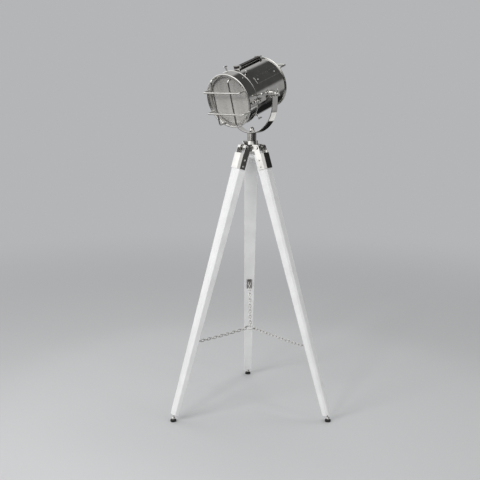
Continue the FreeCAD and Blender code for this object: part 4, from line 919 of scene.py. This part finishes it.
def screw_head(radius=3.6):
    """A domed wood-screw head with a straight slot."""
    seat, crown, steps = 0.3, 1.7, 6
    dome = [(0.0, 0.0), (radius, 0.0), (radius, seat)]
    for k in range(1, steps + 1):
        angle = math.pi / 2 * k / steps
        dome.append((radius * math.cos(angle) if k < steps else 0.0,
                     seat + crown * math.sin(angle)))
    head = lathe(dome, 32, False)
    half_slot, slot_depth = 0.45, 0.7
    for vertex in head.verts:
        if abs(vertex.co.x) < half_slot and vertex.co.z > 0.5:
            vertex.co.z -= slot_depth
    return head


def make_socket_screws(side):
    turns = random.Random(side)
    socket_face = 33.95
    heads = []
    for way in (1, -1):
        for drop in (55.5, 83.5):
            spin = Matrix.Rotation(turns.uniform(0, TURN), 4, "Z")
            place = turn_to((0, way, 0), (0, way * socket_face, -drop))
            heads.append(moved(screw_head(), place @ spin))
    piece("socket_screw_heads_" + side, joined(*heads), leg_frame(side), "leg_" + side,
          NICKEL_SMALL, ["socket_screws_" + side])


def make_foot(side):
    """Levelling screw with its ball, and the rubber pad it stands in."""
    hinge_height, ball_height, splay = 1187.2, 14.0, math.radians(16.75)
    drop = -(hinge_height - ball_height) / math.cos(splay)
    profile = [(0.0, drop - 8.0)] + arc((0, drop), 8.0, -86, 58, 14)
    profile += [(4.0, drop + 8.0), (4.0, WOOD_BOTTOM - 3.4), (8.0, WOOD_BOTTOM - 3.0),
                (8.0, WOOD_BOTTOM - 0.4), (4.0, WOOD_BOTTOM - 0.2), (4.0, WOOD_BOTTOM + 45.0),
                (0.0, WOOD_BOTTOM + 45.0)]
    piece("foot_screw_turned_" + side, lathe(profile, 48, False), leg_frame(side),
          "foot_" + side, NICKEL_SMALL, ["foot_screw_" + side])
    low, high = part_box("foot_pad_" + side)
    centre = (low + high) / 2
    centre.z = 0
    pad = softened([(0.0, 0.0), (12.2, 0.0), (13.0, 0.8), (13.0, 3.4), (12.5, 3.7),
                    (12.5, 4.3), (13.0, 4.6), (13.0, 7.5), (11.5, 9.0), (6.3, 9.0),
                    (4.4, 7.4), (0.0, 6.0)], 0.5, 3, closed=False)
    piece("foot_pad_moulded_" + side, lathe(pad, 64, False), Matrix.Translation(centre),
          "foot_" + side, RUBBER, ["foot_pad_" + side])


# ---- Inside the drum ------------------------------------------------------------------


def make_reflector():
    """Spun half-sphere with a rolled rim and a hole for the lamp holder."""
    rim, flange, flange_thick, hole = 114.0, 106.3, 1.6, 24.0
    outer, inner = 98.0, 97.0
    first = math.degrees(math.acos(hole / outer))
    bowl = [(outer * math.cos(math.radians(a)), rim - outer * math.sin(math.radians(a)))
            for a in [first - first * k / 40 for k in range(41)]]
    lining = [(inner * math.cos(math.radians(a)), rim - inner * math.sin(math.radians(a)))
              for a in [first * k / 40 for k in range(41)]]
    profile = bowl + [(outer, rim - flange_thick), (flange, rim - flange_thick), (flange, rim),
                      (inner, rim)]
    piece("reflector_spun", lathe(profile + lining[1:], FINE), HEAD, "lamp_head", ALUMINIUM,
          ["reflector"])


def make_bulb():
    """Clear globe bulb: glass, threaded cap and a zigzag filament."""
    middle, globe, neck, base, wall = 62.0, 29.8, 14.0, 13.0, 0.8
    outside = [(0.0, middle + globe)]
    outside += [(globe * math.sin(math.radians(a)), middle + globe * math.cos(math.radians(a)))
                for a in range(6, 121, 6)]
    outside += [(neck + 4.5, base + 20.0), (neck + 0.8, base + 9.0), (neck, base)]
    inside = [(max(0.0, radius - wall), height - (wall if radius == 0 else 0.0))
              for radius, height in reversed(outside)]
    glass = lathe(outside + inside, 72, False)
    piece("bulb_glass", glass, HEAD, "lamp_head", CLEAR, ["bulb"])
    cap = [(0.0, -15.8), (5.0, -15.8), (6.0, -13.5), (11.5, -12.0)]
    crest, root, lead = 12.9, 11.9, 3.2
    for k in range(7):
        cap += [(crest, -10.6 + lead * k), (root, -9.0 + lead * k)]
    cap += [(13.4, 12.4), (13.4, 14.5), (0.0, 14.5)]
    piece("bulb_cap", lathe(cap, 48, False), HEAD, "lamp_head", BRASS)
    wire = [Vector((-3, 0, 14)), Vector((-9, 0, 52))]
    wire += [Vector((-9 + 3 * k, 0, 66 if k % 2 else 56)) for k in range(1, 6)]
    wire += [Vector((9, 0, 52)), Vector((3, 0, 14))]
    piece("bulb_filament", sweep(wire, 0.35, 8), HEAD, "lamp_head", TUNGSTEN)


# ---- Assembly -------------------------------------------------------------------------

make_drum()
make_rear_cover()
make_rear_handle()
make_side_plate()
make_carry_strap()
make_strap_loops()
make_bezel()
make_guard_rods()
make_thumb_screws()
make_glass()
make_closing_screw()
make_yoke()
make_pole()
make_acorn_nut()
make_tilt_lever()
make_wing_nut()
for side in SIDES:
    make_leg(side)
    make_socket_screws(side)
    make_foot(side)
    refined("leg_socket_" + side, NICKEL, 0.5)
    refined("leg_bolt_" + side, NICKEL_SMALL, 0.5)
    # Painted shade: the chain hooks take the darker nickel.
    refined("chain_hook_" + side, NICKEL_PAINTED_SHADE, 0.3)
make_reflector()
make_bulb()
refined("hub", NICKEL, 1.0)
refined("pan_lock_screw", NICKEL_SMALL, 0.8)
refined("cable_gland", NYLON, 0.6)
refined("closing_bracket", NICKEL_SMALL, 0.5)
refined("hinge_leaf_fixed", NICKEL_SMALL, 0.4)
refined("hinge_leaf_door", NICKEL_SMALL, 0.4)
refined("lamp_holder", BAKELITE, 0.6)

# ---- Studio ---------------------------------------------------------------------------

BACKDROP = colour("#B4B5B7")
FLOOR_PAINT = colour("#C6C7C8")


def staged(name, mesh, material, where):
    data = bpy.data.meshes.new(name)
    mesh.to_mesh(data)
    mesh.free()
    data.materials.append(material)
    thing = bpy.data.objects.new(name, data)
    bpy.context.scene.collection.objects.link(thing)
    thing.matrix_world = where
    return thing


def smooth_step(tree, value, low, high):
    return add(tree, "ShaderNodeMapRange",
               {"interpolation_type": "SMOOTHSTEP", "From Min": low, "From Max": high},
               {"Value": value}).outputs["Result"]


def make_floor():
    """A pale floor that fades into the backdrop's colour away from the lamp."""
    material, tree, shader = surface("pale_floor", Roughness=0.75)
    shader.inputs["Base Color"].default_value = FLOOR_PAINT
    source = add(tree, "ShaderNodeTexCoord").outputs["Object"]
    distance = add(tree, "ShaderNodeVectorMath", {"operation": "LENGTH"},
                   {0: source}).outputs["Value"]
    glow = add(tree, "ShaderNodeEmission", {"Color": BACKDROP})
    mix = add(tree, "ShaderNodeMixShader",
              links={"Fac": smooth_step(tree, distance, 1.2, 4.5),
                     1: shader.outputs[0], 2: glow.outputs[0]})
    tree.links.new(mix.outputs[0], tree.nodes["Material Output"].inputs["Surface"])
    disc = bmesh.new()
    bmesh.ops.create_circle(disc, cap_ends=True, segments=96, radius=14.0)
    staged("floor", disc, material, FLOOR)


def make_world():
    """Pale backdrop to the eye and in gloss; an even dimmer light on dull surfaces."""
    world = bpy.data.worlds.new("studio")
    world.use_nodes = True
    bpy.context.scene.world = world
    tree = world.node_tree
    background = tree.nodes["Background"]
    background.inputs["Color"].default_value = grey(0.52)
    pale = add(tree, "ShaderNodeBackground", {"Color": BACKDROP, "Strength": 1.0})
    path = add(tree, "ShaderNodeLightPath")
    seen = path.outputs["Is Camera Ray"]
    for ray in ("Is Glossy Ray", "Is Transmission Ray"):
        seen = add(tree, "ShaderNodeMath", {"operation": "MAXIMUM"},
                   {0: seen, 1: path.outputs[ray]}).outputs["Value"]
    mix = add(tree, "ShaderNodeMixShader",
              links={"Fac": seen, 1: background.outputs[0], 2: pale.outputs[0]})
    tree.links.new(mix.outputs[0], tree.nodes["World Output"].inputs["Surface"])


# Soft panels in the tent, by bearing from straight behind the lamp towards its right, height
# above the horizon, both in degrees, half the full and the faded width, and brightness.
TENT_CLOTH = 0.08
TENT_PANELS = (
    (1, 30, 20, 32, 0.55),
    (4, -14, 8, 18, 0.26),
    (78, -3, 8, 20, 0.42),
    (50, 6, 5, 12, 0.02),
    (33, -33, 17, 26, 0.015),
    (70.5, -23.5, 5.5, 7, 1.05),
    (63, -31, 5.5, 7, 1.05),
    (-92, -27, 13, 18, 0.36),
    (-72, 34, 40, 45, 1.5),
    (-132, 32, 40, 45, 1.5),
    (180, 30, 34, 42, 0.9),
    (180, 66, 24, 38, 2.4),
    (178, -6, 6, 11, 0.05),
)
TENT_CENTRE = Vector((0, 0, 1.35))
TENT_RADIUS = 6.5


def make_tent():
    """Grey cloth round the set with soft bright panels, which only polished metal shows."""
    material, tree, shader = surface("tent_cloth", Roughness=1.0)
    source = add(tree, "ShaderNodeTexCoord").outputs["Object"]
    away = add(tree, "ShaderNodeVectorMath", {"operation": "NORMALIZE"},
               {0: source}).outputs["Vector"]
    shade = None
    for bearing, height, inner, outer, brightness in TENT_PANELS:
        round_by, up_by = math.radians(bearing), math.radians(height)
        aim = (math.sin(round_by) * math.cos(up_by), math.cos(round_by) * math.cos(up_by),
               math.sin(up_by))
        nearness = add(tree, "ShaderNodeVectorMath", {"operation": "DOT_PRODUCT", 1: aim},
                       {0: away}).outputs["Value"]
        inside = smooth_step(tree, nearness, math.cos(math.radians(outer)),
                             math.cos(math.radians(inner)))
        links = {"Factor": inside}
        if shade is not None:
            links["A"] = shade
        shade = add(tree, "ShaderNodeMix", {"A": TENT_CLOTH, "B": brightness},
                    links).outputs["Result"]
    glow = add(tree, "ShaderNodeEmission", links={"Strength": shade})
    hole = add(tree, "ShaderNodeBsdfTransparent")
    flat = add(tree, "ShaderNodeVectorMath", {"operation": "MULTIPLY", 1: (1, 1, 0)},
               {0: source}).outputs["Vector"]
    reach = add(tree, "ShaderNodeVectorMath", {"operation": "LENGTH"},
                {0: flat}).outputs["Value"]
    dome = add(tree, "ShaderNodeSeparateXYZ", links={"Vector": source}).outputs["Z"]
    solid = add(tree, "ShaderNodeMath", {"operation": "MAXIMUM"},
                {0: smooth_step(tree, reach, 1.0, 1.5),
                 1: smooth_step(tree, dome, -0.6, -0.4)}).outputs["Value"]
    mix = add(tree, "ShaderNodeMixShader",
              links={"Fac": solid, 1: hole.outputs[0], 2: glow.outputs[0]})
    tree.links.new(mix.outputs[0], tree.nodes["Material Output"].inputs["Surface"])
    low = 0.01 - TENT_CENTRE.z
    profile = [(0.95, low), (TENT_RADIUS, low)] + arc((0, 0), TENT_RADIUS, 0, 89, 24)
    profile += [(0.0, TENT_RADIUS)]
    tent = staged("tent", lathe(profile, 96, False), material,
                  Matrix.Translation(TENT_CENTRE))
    for sight in ("camera", "diffuse", "shadow", "transmission"):
        setattr(tent, "visible_" + sight, False)


def make_light(name, place, target, width, height, power):
    lamp = bpy.data.lights.new(name, "AREA")
    lamp.shape = "RECTANGLE"
    lamp.size = width
    lamp.size_y = height
    lamp.energy = power
    light = bpy.data.objects.new(name, lamp)
    bpy.context.scene.collection.objects.link(light)
    aim = Vector(target) - Vector(place)
    light.matrix_world = (Matrix.Translation(place)
                          @ aim.to_track_quat("-Z", "Y").to_matrix().to_4x4())
    light.visible_glossy = False


def make_camera():
    """Eye height 1.47 m, 3.5 m in front of the lamp, looking slightly down."""
    yaw, pitch, roll = (math.radians(a) for a in (0.76, 11.17, 0.35))
    place = Vector((-0.09556, -3.50870, 1.46718))
    focal_px, frame_px, sensor_mm = 803.0, 480.0, 36.0
    forward = Vector((math.sin(yaw) * math.cos(pitch), math.cos(yaw) * math.cos(pitch),
                      -math.sin(pitch)))
    level = Vector((math.cos(yaw), -math.sin(yaw), 0))
    above = level.cross(forward)
    right = level * math.cos(roll) + above * math.sin(roll)
    top = above * math.cos(roll) - level * math.sin(roll)
    data = bpy.data.cameras.new("camera")
    data.sensor_width = sensor_mm
    data.lens = focal_px / frame_px * sensor_mm
    data.clip_end = 60.0
    camera = bpy.data.objects.new("camera", data)
    bpy.context.scene.collection.objects.link(camera)
    camera.matrix_world = columns(right, top, -forward, place)
    bpy.context.scene.camera = camera


make_floor()
make_world()
make_tent()
make_camera()
make_light("key_softbox", (-3.0, -2.6, 2.4), (0, 0, 0.9), 1.6, 1.2, 64)
make_light("front_softbox", (-1.63, -3.2, 2.4), (0, 0, 0.9), 0.5, 0.5, 24)
make_light("fill_strip", (3.2, -2.6, 2.2), (0, 0, 1.0), 0.5, 1.8, 14)
make_light("top_strip", (0.3, 0.6, 3.8), (0, 0, 1.2), 1.8, 0.4, 20)
bpy.context.scene.view_settings.view_transform = "Standard"
